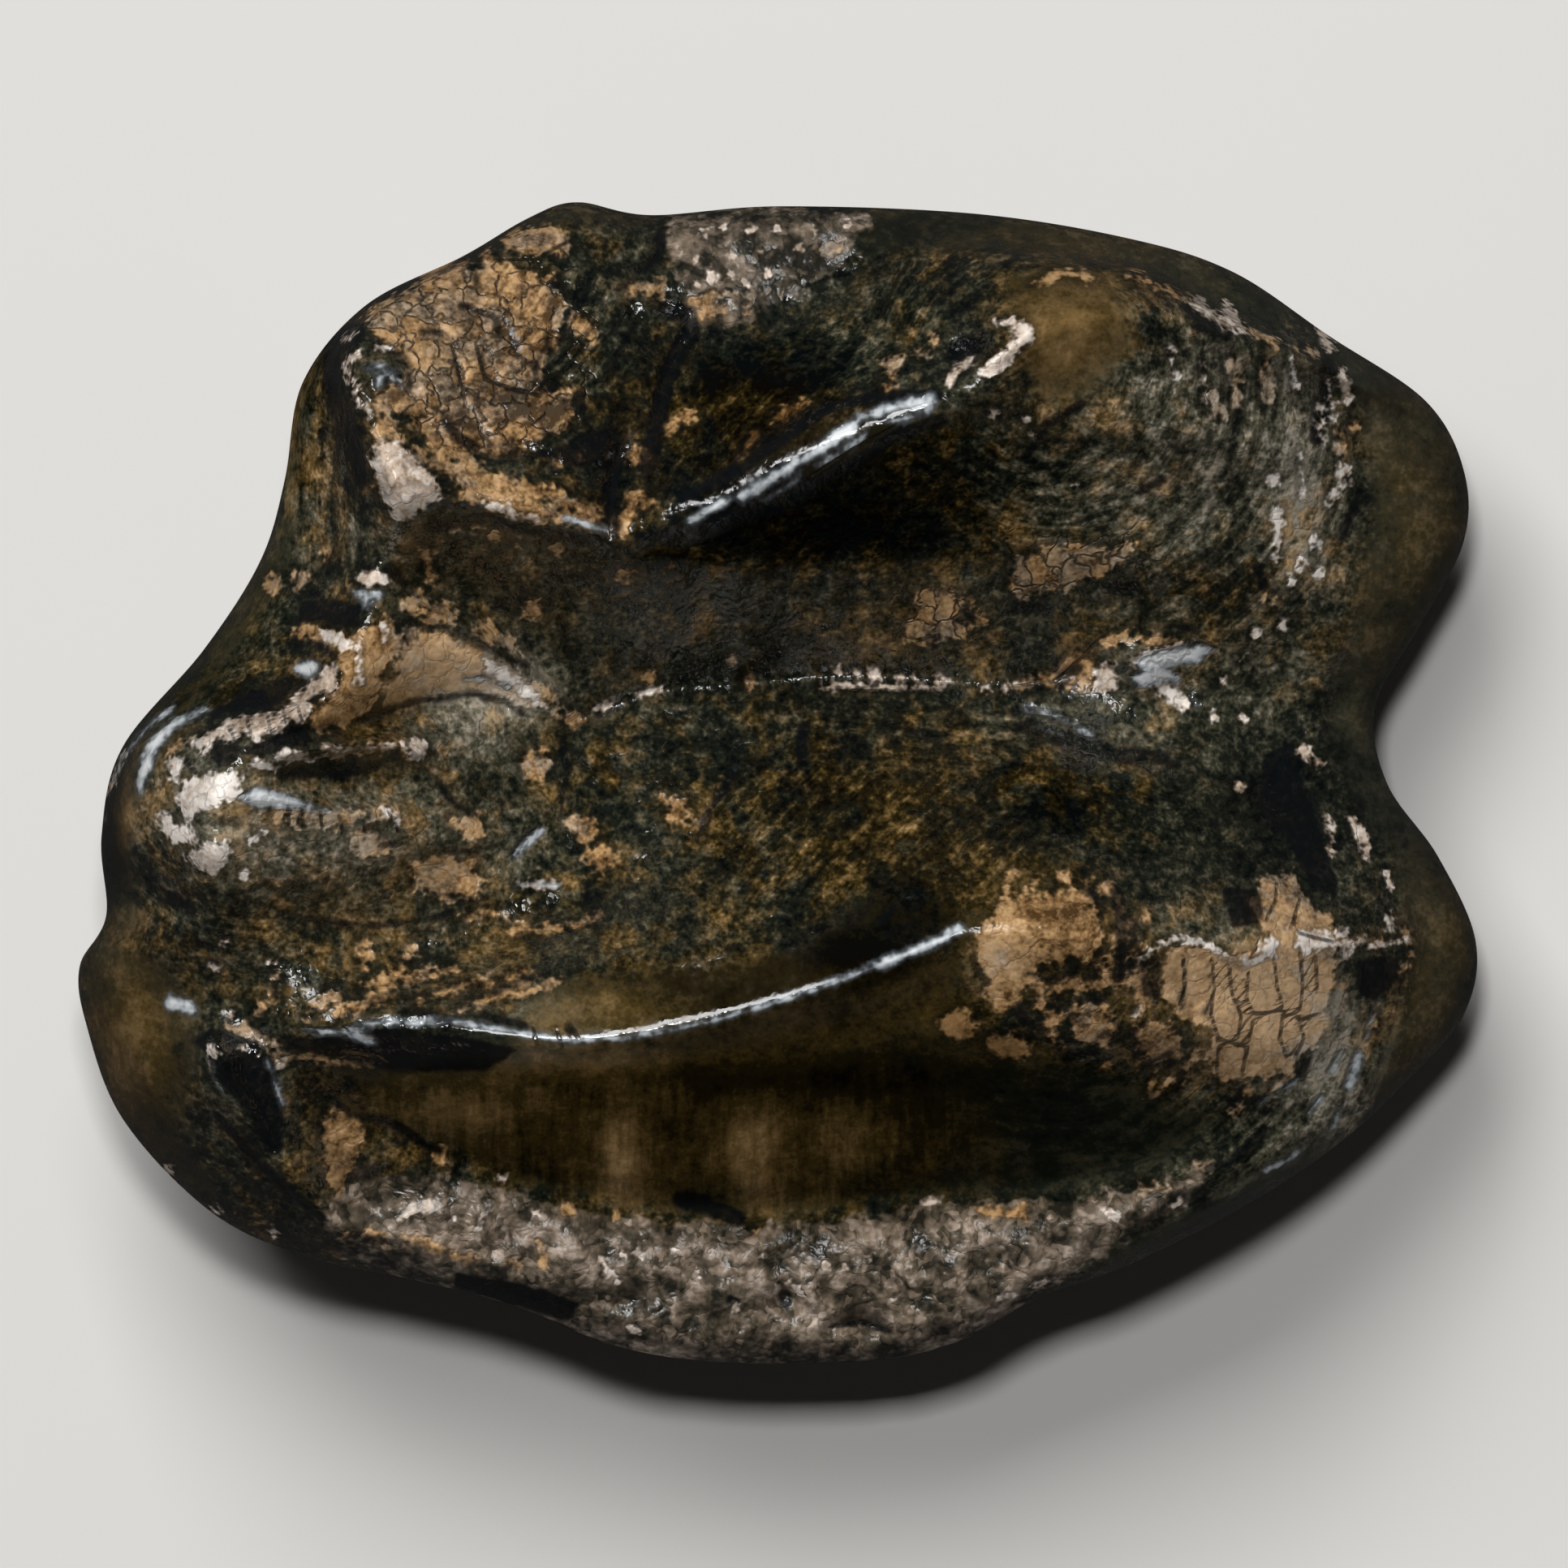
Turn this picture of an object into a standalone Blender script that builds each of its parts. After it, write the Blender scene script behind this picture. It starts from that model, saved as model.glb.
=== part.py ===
"""Upper cheek tooth of a fossil tapir, biting face up: two cross crests, an outer wall with two cusps,
rough ledges at the front and the rear, a notch on the tongue side and four worn root stubs.

Lengths are in millimetres until the mesh is made. Every line of the form is a list of places
(across, down, height): pixels of the photograph, and the height above the root ends. A sheet is
stretched over the lines."""

import bpy
import numpy as np
from mathutils.kdtree import KDTree

NODE = "tapir_tooth"
METRES = 0.001
CROWN_WIDTH = 28.0  # from the cheek side to the tongue side
PICTURE_WIDTH = 1732.0  # the same width, in pixels
PICTURE_CENTRE = (959.0, 963.5)
PIXEL = CROWN_WIDTH / PICTURE_WIDTH

GRID = 128  # squares along each side of the sheet
COARSEST_GRID = 16
TRIANGLES = 9600
RIM_BAND = 0.25  # share of the sheet, next to the rim, whose squares are crowded
LINE_STEP = 0.2  # distance between the places tried along a line, in squares
SOFT = 1
CREST = 2
SETTLE_STEPS = 160
SOFTEN_REACH = 0.3  # how far the creases of soft lines are rounded
SPREAD_STEPS = 4  # smoothing passes that even out the plan between the crests
FLAT_LIMIT = 0.06  # points this low belong to a worn root end

# The widest contour of the crown, clockwise from the rear of the cheek side.
OUTLINE = [
    (710, 248, 7.6), (800, 264, 7.6), (960, 253, 7.5), (1200, 262, 7.4), (1390, 292, 7.0), (1520, 333, 6.4),
    (1640, 412, 5.5), (1760, 492, 4.8), (1808, 580, 4.5), (1806, 670, 4.5), (1750, 775, 4.8),
    (1697, 870, 5.2), (1712, 965, 5.0), (1775, 1055, 4.7), (1822, 1160, 4.5), (1808, 1250, 4.6),
    (1740, 1330, 4.9), (1650, 1412, 5.6), (1530, 1490, 6.4), (1390, 1560, 7.0), (1280, 1600, 7.3),
    (1190, 1650, 7.5), (1085, 1676, 7.6), (900, 1680, 7.6), (760, 1660, 7.6), (640, 1612, 7.6),
    (520, 1580, 7.6), (380, 1550, 7.5), (260, 1495, 7.3), (150, 1380, 7.1), (104, 1260, 7.2),
    (97, 1190, 7.5), (130, 1130, 8.0), (124, 1030, 7.8), (150, 920, 7.6), (250, 800, 7.4), (320, 690, 7.4),
    (350, 590, 7.2), (372, 470, 7.2), (450, 375, 7.4), (570, 315, 7.6), (650, 268, 7.6),
]

# Crests keep a sharp edge.
FRONT_CREST = [
    (290, 1255, 14.6), (380, 1265, 15.7), (460, 1258, 16.3), (560, 1262, 16.8), (640, 1277, 17.0),
    (700, 1282, 17.0), (780, 1278, 17.0), (900, 1250, 17.1), (1000, 1220, 17.2), (1100, 1180, 17.3),
    (1200, 1138, 17.4),
]
FRONT_STYLE = [(272, 1286, 15.9), (300, 1345, 15.3), (350, 1425, 13.6), (420, 1522, 11.4)]
FRONT_CUSP_RIB = [
    (262, 985, 18.8), (300, 975, 18.4), (350, 985, 17.8), (430, 1000, 16.9), (500, 1010, 15.8),
]
FRONT_CUSP_SPUR = [(350, 930, 17.9), (400, 922, 17.3), (470, 915, 16.4), (525, 930, 15.4)]
OUTER_WALL = [
    (262, 985, 18.8), (300, 920, 18.4), (350, 890, 18.0), (410, 860, 17.4), (440, 800, 16.7),
    (458, 730, 16.2), (472, 690, 15.7), (485, 655, 16.8), (498, 622, 18.8), (470, 560, 18.4),
    (450, 510, 17.8), (440, 450, 17.0), (448, 405, 15.6),
]
CENTRE_CREST = [
    (458, 725, 16.2), (500, 745, 15.7), (550, 765, 15.1), (600, 790, 14.3), (650, 840, 12.8),
    (700, 890, 11.3),
]
REAR_CREST = [
    (498, 622, 18.8), (560, 610, 17.9), (640, 630, 17.5), (720, 655, 17.0), (755, 662, 16.6),
    (790, 662, 16.9), (850, 640, 17.2), (900, 610, 17.3), (960, 575, 17.4), (1030, 540, 17.5),
    (1100, 517, 17.6), (1150, 505, 17.6), (1195, 478, 17.5),
]
FRONT_LEDGE_LIP = [
    (385, 1375, 13.1), (480, 1430, 12.0), (560, 1462, 11.3), (640, 1488, 10.8), (790, 1518, 10.3),
    (950, 1528, 10.1), (1130, 1508, 10.1), (1300, 1498, 10.2), (1400, 1480, 10.4), (1500, 1445, 10.5),
]
CRESTS = [
    FRONT_CREST, FRONT_STYLE, FRONT_CUSP_RIB, FRONT_CUSP_SPUR, OUTER_WALL, CENTRE_CREST, REAR_CREST,
    FRONT_LEDGE_LIP,
]

# Soft lines guide the sheet and are rounded off.
MIDDLE_VALLEY = [
    (700, 892, 11.1), (740, 875, 10.7), (800, 852, 10.4), (900, 842, 10.1), (1000, 832, 9.9),
    (1100, 833, 9.7), (1200, 842, 9.5), (1300, 852, 9.3), (1400, 852, 9.0), (1500, 856, 8.5),
    (1600, 866, 7.4), (1660, 872, 6.3),
]
FRONT_VALLEY = [
    (400, 1350, 13.1), (500, 1412, 11.5), (640, 1455, 10.3), (800, 1485, 9.5), (950, 1492, 9.2),
    (1100, 1482, 9.2), (1300, 1462, 9.5), (1450, 1420, 10.0), (1560, 1360, 10.0),
]
CUSP_HOLLOW = [(345, 952, 17.2), (420, 956, 15.7), (500, 964, 14.8)]
CENTRE_GROOVE = [
    (440, 905, 15.2), (480, 885, 14.3), (540, 862, 13.4), (600, 858, 12.8), (650, 872, 12.1),
    (698, 895, 11.2),
]
REAR_GROOVE = [(480, 700, 15.0), (530, 722, 14.0), (600, 755, 13.1), (660, 800, 12.1), (702, 868, 11.2)]
FRONT_BASIN = [
    (330, 1120, 16.0), (420, 1160, 14.7), (520, 1168, 13.9), (620, 1140, 13.2), (720, 1110, 12.9),
]
FRONT_CUSP_SLOPE = [
    (262, 1000, 18.7), (264, 1060, 18.0), (275, 1130, 16.5), (285, 1200, 14.9), (288, 1245, 14.4),
]
RIB_SLOPE = [(500, 1010, 15.8), (620, 1032, 13.6), (700, 1040, 12.3)]
FRONT_BEVEL = [
    (640, 1195, 15.7), (800, 1190, 16.0), (950, 1160, 16.1), (1080, 1112, 16.1), (1170, 1075, 15.9),
]
FRONT_FACE = [
    (640, 1350, 14.6), (800, 1352, 14.5), (950, 1330, 14.7), (1100, 1280, 15.3), (1250, 1265, 15.6),
]
FRONT_LOBE_RIDGE = [
    (1200, 1138, 17.4), (1290, 1140, 17.3), (1400, 1160, 16.2), (1510, 1168, 14.5), (1620, 1160, 12.0),
    (1700, 1163, 9.6), (1760, 1165, 7.0),
]
FRONT_LOBE_NORTH = [
    (1200, 1050, 15.0), (1300, 1050, 15.2), (1400, 1076, 14.5), (1500, 1090, 13.0), (1600, 1080, 10.8),
]
FRONT_LOBE_SOUTH = [(1270, 1262, 15.4), (1400, 1272, 14.6), (1500, 1280, 13.0), (1600, 1286, 10.9)]
REAR_LOBE_RIDGE = [
    (1195, 478, 17.5), (1245, 425, 17.5), (1310, 395, 17.2), (1400, 390, 16.1), (1500, 410, 14.3),
    (1600, 440, 11.8), (1680, 480, 9.2), (1740, 520, 6.6),
]
REAR_LOBE_NORTH = [(1120, 400, 13.9), (1200, 335, 14.2), (1330, 330, 14.2), (1450, 345, 12.8)]
REAR_LOBE_SOUTH = [(1290, 520, 15.6), (1400, 520, 15.1), (1500, 540, 13.5), (1600, 560, 11.0)]
REAR_LOBE_SLOPE = [(1250, 650, 13.2), (1350, 670, 12.6), (1450, 690, 11.7), (1550, 700, 10.3)]
REAR_CRACK = [
    (757, 640, 16.1), (768, 590, 14.9), (790, 520, 13.7), (820, 450, 12.9), (845, 400, 12.4),
    (830, 350, 11.7), (810, 300, 10.9),
]
REAR_CUSP_RIB = [(600, 600, 17.0), (615, 500, 15.6), (640, 400, 14.2), (660, 330, 12.9)]
REAR_CUSP_EDGE = [
    (448, 405, 15.6), (500, 368, 14.4), (580, 330, 13.2), (650, 300, 12.4), (710, 276, 11.6),
    (770, 290, 11.2),
]
REAR_LEDGE_INNER = [(850, 402, 12.2), (940, 402, 11.5), (1030, 365, 11.0), (1090, 320, 10.8)]
REAR_LEDGE_OUTER = [
    (820, 290, 10.6), (900, 284, 10.4), (980, 276, 10.2), (1060, 280, 10.3), (1160, 288, 10.4),
]
REAR_SHOULDER = [(1160, 288, 10.4), (1300, 305, 10.4), (1420, 335, 10.0), (1540, 385, 9.2)]
FRONT_LEDGE_EDGE = [
    (440, 1530, 10.8), (560, 1556, 10.3), (700, 1602, 9.8), (840, 1648, 9.4), (960, 1652, 9.2),
    (1080, 1646, 9.2), (1190, 1615, 9.4), (1290, 1570, 9.6), (1400, 1530, 9.8), (1530, 1465, 9.6),
]
STYLE_HOLLOW = [(400, 1345, 13.2), (432, 1420, 11.8), (440, 1490, 10.9)]
STYLE_BULGE = [(185, 1215, 12.6), (175, 1300, 12.4), (225, 1400, 11.4), (310, 1480, 10.6)]
FRONT_CUSP_BULGE = [(205, 900, 14.8), (170, 960, 14.6), (166, 1040, 13.4), (190, 1110, 12.6)]
OUTER_BULGE = [(330, 805, 13.2), (385, 725, 12.6), (405, 660, 12.6), (412, 590, 13.4), (402, 500, 13.0)]
LOBE_SHOULDER = [
    (1640, 450, 9.0), (1675, 540, 8.4), (1674, 640, 8.3), (1640, 740, 8.3), (1615, 820, 7.9),
    (1622, 900, 7.6), (1660, 990, 7.8), (1712, 1080, 8.1), (1735, 1165, 8.3), (1712, 1260, 8.1),
    (1650, 1350, 8.6), (1560, 1430, 9.3),
]
SOFT_LINES = [
    MIDDLE_VALLEY, FRONT_VALLEY, CUSP_HOLLOW, CENTRE_GROOVE, REAR_GROOVE, FRONT_BASIN, FRONT_CUSP_SLOPE,
    RIB_SLOPE, FRONT_BEVEL, FRONT_FACE, FRONT_LOBE_RIDGE, FRONT_LOBE_NORTH, FRONT_LOBE_SOUTH,
    REAR_LOBE_RIDGE, REAR_LOBE_NORTH, REAR_LOBE_SOUTH, REAR_LOBE_SLOPE, REAR_CRACK, REAR_CUSP_RIB,
    REAR_CUSP_EDGE, REAR_LEDGE_INNER, REAR_LEDGE_OUTER, REAR_SHOULDER, FRONT_LEDGE_EDGE, STYLE_HOLLOW,
    STYLE_BULGE, FRONT_CUSP_BULGE, OUTER_BULGE, LOBE_SHOULDER,
]

# Small lumps and pits: (across, down, radius in pixels, rise in millimetres).
LUMPS = [
    (470, 470, 34, 0.55), (440, 425, 22, 0.35), (1402, 826, 42, 0.6), (1200, 480, 30, 0.3),
    (1188, 436, 20, -0.7), (368, 842, 34, -1.0), (970, 1600, 22, -0.6), (1070, 1635, 24, -0.6),
    (880, 1600, 26, 0.3), (700, 1550, 30, 0.3), (1180, 1560, 30, 0.3), (270, 1045, 26, 0.2),
    (820, 420, 26, -0.4), (780, 320, 22, -0.35),
]

# Root stubs: (across, down, half width, half depth) of each worn end, in pixels.
ROOT_ENDS = [(345, 1200, 130, 205), (560, 560, 125, 165), (1470, 1180, 205, 165), (1450, 570, 200, 165)]
ROOT_EDGE_POINTS = 20
EDGE_INSIDE = 0.97
FORK_HEIGHT = 3.7
FORK_LINES = [
    [(960, 470, 4.4), (960, 700, FORK_HEIGHT), (960, 960, FORK_HEIGHT), (960, 1250, FORK_HEIGHT),
     (960, 1480, 4.4)],
    [(330, 900, 4.2), (600, 900, FORK_HEIGHT), (1200, 880, FORK_HEIGHT), (1580, 880, 3.0)],
]
NECK_PINCH = 0.3  # how far the neck under the widest contour draws in
NECK_DROP = 2.0
NECK_REACH = 1.4


def plan(points):
    """Picture places as millimetres from the middle of the tooth, with anything else in the rows kept."""
    rows = np.array(points, float)
    rows[:, 0] = (rows[:, 0] - PICTURE_CENTRE[0]) * PIXEL
    rows[:, 1] = (PICTURE_CENTRE[1] - rows[:, 1]) * PIXEL
    return rows


def curve(points, step, closed=False):
    """A smooth line through the points, with a point about every step."""
    rows = plan(points)
    before = np.roll(rows, 1, axis=0) if closed else np.vstack([2 * rows[0] - rows[1], rows[:-1]])
    after = np.roll(rows, -1, axis=0) if closed else np.vstack([rows[1:], 2 * rows[-1] - rows[-2]])
    beyond = np.roll(after, -1, axis=0) if closed else np.vstack([after[1:], after[-1:]])
    found = []
    for a, b, c, d in zip(before, rows, after, beyond):
        count = max(1, int(np.hypot(*(c - b)[:2]) / step) + 1)
        t = (np.arange(count) / count)[:, None]
        bend = (c - a) * t + (2 * a - 5 * b + 4 * c - d) * t**2 + (3 * b - a - 3 * c + d) * t**3
        found.append(b + bend / 2)
    line = np.vstack(found)
    if closed:
        return line
    ends = (line[:, :2] - rows[-1, :2]) @ (rows[-1, :2] - rows[-2, :2])
    return np.vstack([line[ends < 0], rows[-1:]])


def sheet(squares):
    """Plan of a square grid pressed into the outline, and the height of the rim in each point's direction."""
    across = np.linspace(-1, 1, squares + 1)
    u, v = np.meshgrid(across, across)
    x = u * np.sqrt(1 - v * v / 2)
    y = v * np.sqrt(1 - u * u / 2)
    inward = 1 - np.minimum(np.hypot(x, y), 1)
    gain = 1 / (1 - RIM_BAND / 2)
    crowded = np.where(inward < RIM_BAND, inward**2 / (2 * RIM_BAND), inward - RIM_BAND / 2)
    reach = 1 - gain * crowded
    turn = np.arctan2(y, x)
    rim = curve(OUTLINE, 0.1, closed=True)
    rim_turn = np.arctan2(rim[:, 1], rim[:, 0])
    radius = np.interp(turn, rim_turn[::-1], np.hypot(rim[:, 0], rim[:, 1])[::-1], period=2 * np.pi)
    height = np.interp(turn, rim_turn[::-1], rim[::-1, 2], period=2 * np.pi)
    return reach * radius * np.cos(turn), reach * radius * np.sin(turn), height


def points_along(line, tree, columns):
    """The sheet points nearest to a line, in order: row, column and the line's own nearest place."""
    found = []
    for place in line:
        _, index, gap = tree.find((place[0], place[1], 0))
        if found and found[-1][0] == index:
            if gap < found[-1][1]:
                found[-1] = (index, gap, place)
        else:
            found.append((index, gap, place))
    return [(*divmod(index, columns), place) for index, _, place in found]


def single_file(path):
    """The path without the points that only cut a corner, so that it is one point wide."""
    kept = path[:1]
    for here, after in zip(path[1:], path[2:]):
        if max(abs(after[0] - kept[-1][0]), abs(after[1] - kept[-1][1])) > 1:
            kept.append(here)
    return kept + path[-1:]


def hold_lines(x, y, z, crests, soft_lines):
    """Fixes the sheet points nearest to each line at its height, and moves those by a crest onto it."""
    tree = KDTree(x.size)
    for index, place in enumerate(zip(x.flat, y.flat)):
        tree.insert((*place, 0), index)
    tree.balance()
    step = LINE_STEP * CROWN_WIDTH / x.shape[1]
    last = x.shape[1] - 1
    kind = np.zeros(x.shape, int)
    for mark, lines in ((SOFT, soft_lines), (CREST, crests)):
        for line in lines:
            path = points_along(curve(line, step), tree, x.shape[1])
            for row, column, place in single_file(path) if mark == CREST else path:
                if 0 < row < last and 0 < column < last:
                    kind[row, column] = mark
                    z[row, column] = place[2]
                    if mark == CREST:
                        x[row, column], y[row, column] = place[:2]
    return kind


def relax(z, fixed, steps):
    """Each free point takes the mean height of its neighbours, again and again."""
    free = ~fixed[1:-1, 1:-1]
    for _ in range(steps):
        mean = (z[:-2, 1:-1] + z[2:, 1:-1] + z[1:-1, :-2] + z[1:-1, 2:]) / 4
        z[1:-1, 1:-1] = np.where(free, mean, z[1:-1, 1:-1])


def stretched(squares, crests, soft_lines, flats=()):
    """A sheet over the lines: its plan, its heights and which points lie on a crest."""
    x, y, z = sheet(squares)
    rim = np.ones(x.shape, bool)
    rim[1:-1, 1:-1] = False
    if squares > COARSEST_GRID:
        coarse = stretched(squares // 2, crests, soft_lines, flats)[2]
        fine = np.repeat(np.repeat(coarse[:-1, :-1], 2, axis=0), 2, axis=1)
        z[1:-1, 1:-1] = fine[1:, 1:]
    kind = hold_lines(x, y, z, crests, soft_lines)
    flat = np.zeros(x.shape, bool)
    for across, down, half_width, half_depth in flats:
        (centre_x, centre_y), = plan([(across, down)])
        wide = (x - centre_x) / (half_width * PIXEL)
        deep = (y - centre_y) / (half_depth * PIXEL)
        flat |= wide**2 + deep**2 < EDGE_INSIDE
    z[flat] = 0
    for values in (x, y):
        relax(values, rim | (kind == CREST), SPREAD_STEPS)
    relax(z, rim | flat | (kind > 0), SETTLE_STEPS)
    softening = int(round((SOFTEN_REACH * squares / CROWN_WIDTH) ** 2))
    relax(z, rim | flat | (kind == CREST), softening)
    return x, y, z, kind == CREST


def end_edge(across, down, half_width, half_depth):
    """The edge of a worn root end, as a line of the form."""
    turns = np.linspace(0, 2 * np.pi, ROOT_EDGE_POINTS + 1)
    return [(across + half_width * np.cos(t), down + half_depth * np.sin(t), 0) for t in turns]


def add_lumps(x, y, z):
    for across, down, radius, rise in LUMPS:
        (centre_x, centre_y), = plan([(across, down)])
        square = ((x - centre_x) ** 2 + (y - centre_y) ** 2) / (radius * PIXEL) ** 2
        z += rise * np.exp(-square)


def faces_of(index, z, crest, outward):
    """Two triangles a square, folded along a crest, or else along the more level diagonal."""
    a, b = index[:-1, :-1], index[:-1, 1:]
    c, d = index[1:, 1:], index[1:, :-1]
    level = np.abs(z[:-1, 1:] - z[1:, :-1]) < np.abs(z[:-1, :-1] - z[1:, 1:])
    crest_ac = crest[:-1, :-1] & crest[1:, 1:]
    crest_bd = crest[:-1, 1:] & crest[1:, :-1]
    fold_bd = crest_bd | (level & ~crest_ac)
    first = np.stack([a, b, np.where(fold_bd, d, c)], axis=-1)
    second = np.stack([np.where(fold_bd, b, a), c, d], axis=-1)
    faces = np.concatenate([first.reshape(-1, 3), second.reshape(-1, 3)])
    return faces if outward else faces[:, ::-1]


def pinch_neck(points, rim_height):
    """Draws the tooth in a little under its widest contour."""
    depth = (rim_height - points[:, 2] - NECK_DROP) / NECK_REACH
    inward = NECK_PINCH * np.exp(-depth * depth)
    reach = np.hypot(points[:, 0], points[:, 1])
    scale = 1 - inward / np.maximum(reach, 1)
    return points * np.column_stack([scale, scale, np.ones(len(points))])


def tooth_mesh():
    x, y, z, crest = stretched(GRID, CRESTS, SOFT_LINES)
    rim_height = sheet(GRID)[2]
    add_lumps(x[1:-1, 1:-1], y[1:-1, 1:-1], z[1:-1, 1:-1])
    edges = [end_edge(*end) for end in ROOT_ENDS]
    under_x, under_y, under_z, edge = stretched(GRID, edges, FORK_LINES, ROOT_ENDS)
    top_index = np.arange(x.size).reshape(x.shape)
    inner = np.arange((GRID - 1) ** 2).reshape(GRID - 1, GRID - 1) + x.size
    under_index = top_index.copy()
    under_index[1:-1, 1:-1] = inner
    top = np.column_stack([x.ravel(), y.ravel(), z.ravel()])
    under = np.column_stack([a[1:-1, 1:-1].ravel() for a in (under_x, under_y, under_z)])
    under = pinch_neck(under, rim_height[1:-1, 1:-1].ravel())
    faces = np.vstack([faces_of(top_index, z, crest, True), faces_of(under_index, under_z, edge, False)])
    mesh = bpy.data.meshes.new(NODE)
    mesh.from_pydata((np.vstack([top, under]) * METRES).tolist(), [], faces.tolist())
    return mesh


def thinned(mesh):
    """The mesh with fewer triangles where it is smooth, and its root ends flat again."""
    holder = bpy.data.objects.new("full_tooth", mesh)
    bpy.context.scene.collection.objects.link(holder)
    decimate = holder.modifiers.new("thin", "DECIMATE")
    decimate.ratio = TRIANGLES / len(mesh.polygons)
    decimate.use_collapse_triangulate = True
    bpy.context.view_layer.update()
    graph = bpy.context.evaluated_depsgraph_get()
    thin = bpy.data.meshes.new_from_object(holder.evaluated_get(graph))
    bpy.data.objects.remove(holder)
    low = min(vertex.co.z for vertex in thin.vertices)
    for vertex in thin.vertices:
        if vertex.co.z < low + FLAT_LIMIT * METRES:
            vertex.co.z = 0
    return thin


def fossil_enamel():
    material = bpy.data.materials.new("fossil_enamel")
    material.use_nodes = True
    shader = material.node_tree.nodes["Principled BSDF"]
    shader.inputs["Base Color"].default_value = (0.05, 0.037, 0.02, 1)
    shader.inputs["Roughness"].default_value = 0.3
    shader.inputs["Metallic"].default_value = 0
    return material


def main():
    for obj in list(bpy.data.objects):
        bpy.data.objects.remove(obj)
    mesh = thinned(tooth_mesh())
    mesh.name = NODE
    mesh.materials.clear()
    mesh.materials.append(fossil_enamel())
    bpy.context.scene.collection.objects.link(bpy.data.objects.new(NODE, mesh))


main()
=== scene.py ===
"""Looks of the fossil tapir tooth: the form of the solid on a finer sheet, with fine ridges, grooves, cracks
and rough ledges, in glossy mineralised enamel, on a pale floor under soft light, seen straight down.

Lengths are in millimetres until the mesh is made. Places on the tooth are pixels of the photograph."""

import bpy
import numpy as np
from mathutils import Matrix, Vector
from mathutils.kdtree import KDTree


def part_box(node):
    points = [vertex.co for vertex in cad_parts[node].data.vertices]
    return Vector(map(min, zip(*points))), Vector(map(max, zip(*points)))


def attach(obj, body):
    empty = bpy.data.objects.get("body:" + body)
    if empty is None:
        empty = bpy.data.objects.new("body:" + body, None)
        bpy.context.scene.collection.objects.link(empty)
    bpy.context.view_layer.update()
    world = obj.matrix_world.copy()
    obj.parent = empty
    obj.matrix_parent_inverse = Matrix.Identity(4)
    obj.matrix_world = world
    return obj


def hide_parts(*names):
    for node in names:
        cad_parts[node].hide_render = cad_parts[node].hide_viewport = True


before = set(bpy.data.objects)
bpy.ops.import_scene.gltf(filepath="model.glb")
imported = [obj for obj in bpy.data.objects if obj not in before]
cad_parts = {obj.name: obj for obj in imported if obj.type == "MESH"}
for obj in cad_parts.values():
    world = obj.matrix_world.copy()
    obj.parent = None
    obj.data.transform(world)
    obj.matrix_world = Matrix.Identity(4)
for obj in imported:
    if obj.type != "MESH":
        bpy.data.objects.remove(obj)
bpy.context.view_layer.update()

NODE = "tapir_tooth"
PIECE = "fossil_enamel_surface"
METRES = 0.001
CROWN_WIDTH = 28.0  # from the cheek side to the tongue side
PICTURE_WIDTH = 1732.0  # the same width, in pixels
PICTURE_CENTRE = (959.0, 963.5)
PIXEL = CROWN_WIDTH / PICTURE_WIDTH
PHOTO_SIDE = 1932

TOP_GRID = 288  # squares along each side of the sheet
UNDER_GRID = 96
COARSEST_GRID = 16
INNER = np.s_[1:-1, 1:-1]  # every point of a sheet but those of the rim
RIM_BAND = 0.25  # share of the sheet, next to the rim, whose squares are crowded
RIM_STEP = 0.1
CREST_STEP = 1.0
LINE_STEP = 0.2  # distance between the places tried along a line, in squares
SOFT = 1
CREST = 2
SETTLE_STEPS = 160
SOFTEN_REACH = 0.3  # how far the creases of soft lines are rounded
SPREAD_STEPS = 4  # smoothing passes that even out the plan between the crests
FAR_OFF = 1000.0  # further than any place on the tooth
TINY = 1e-9

GRAIN_RISE = 0.35  # the grain is drawn out upwards on the walls, as enamel's is
FIELD_REACH = 0.6  # how far from its edge a region is told apart
CRACK_WIDTH = 10  # of the band that a crack wanders in, in pixels
LINE_SPREAD = 3  # how far out a fine line is felt, in half widths
STREAK_SQUEEZE = 0.2  # streaks are long along the growth lines
ENAMEL_BELOW_RIM = 1.6

# Relief of plain and of rough enamel: (seed, rise of the swells, rise of the fine waves).
PLAIN_RELIEF = (11, 0.10, 0.035)
ROUGH_RELIEF = (31, 0.38, 0.04)
SWELL_CELL = 0.9
FINE_CELL = 0.22
FINE_SEED = 51
NOISE_SPAN = 1.5  # the square that the swells cover, in crown widths
NOISE_START = 0.7
NOISE_MARGIN = 3
SMOOTH_FADE = 0.3
ROUGH_FADE = 0.2
BLACK_MARGIN = 0.15
BLACK_CALM = 0.8  # share of the relief that is worn off where the enamel is black

FLOOR_HALF = 400
FLOOR_COLOUR = (0.58, 0.57, 0.55, 1)
FLOOR_ROUGHNESS = 0.7
TOOTH_MIDDLE = 9.0
CAMERA_HEIGHT = 1000.0
SENSOR = 36.0
CLIP_RANGE = (0.01, 10)
# Lights: where each one is and how wide, in metres, and its power in watts.
LIGHTS = {"key": ((-0.09, 0.19, 0.40), 0.20, 1.8), "over": ((-0.01, 0.06, 0.50), 0.035, 1.1)}
SURROUND_STRENGTH = 0.02

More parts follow.
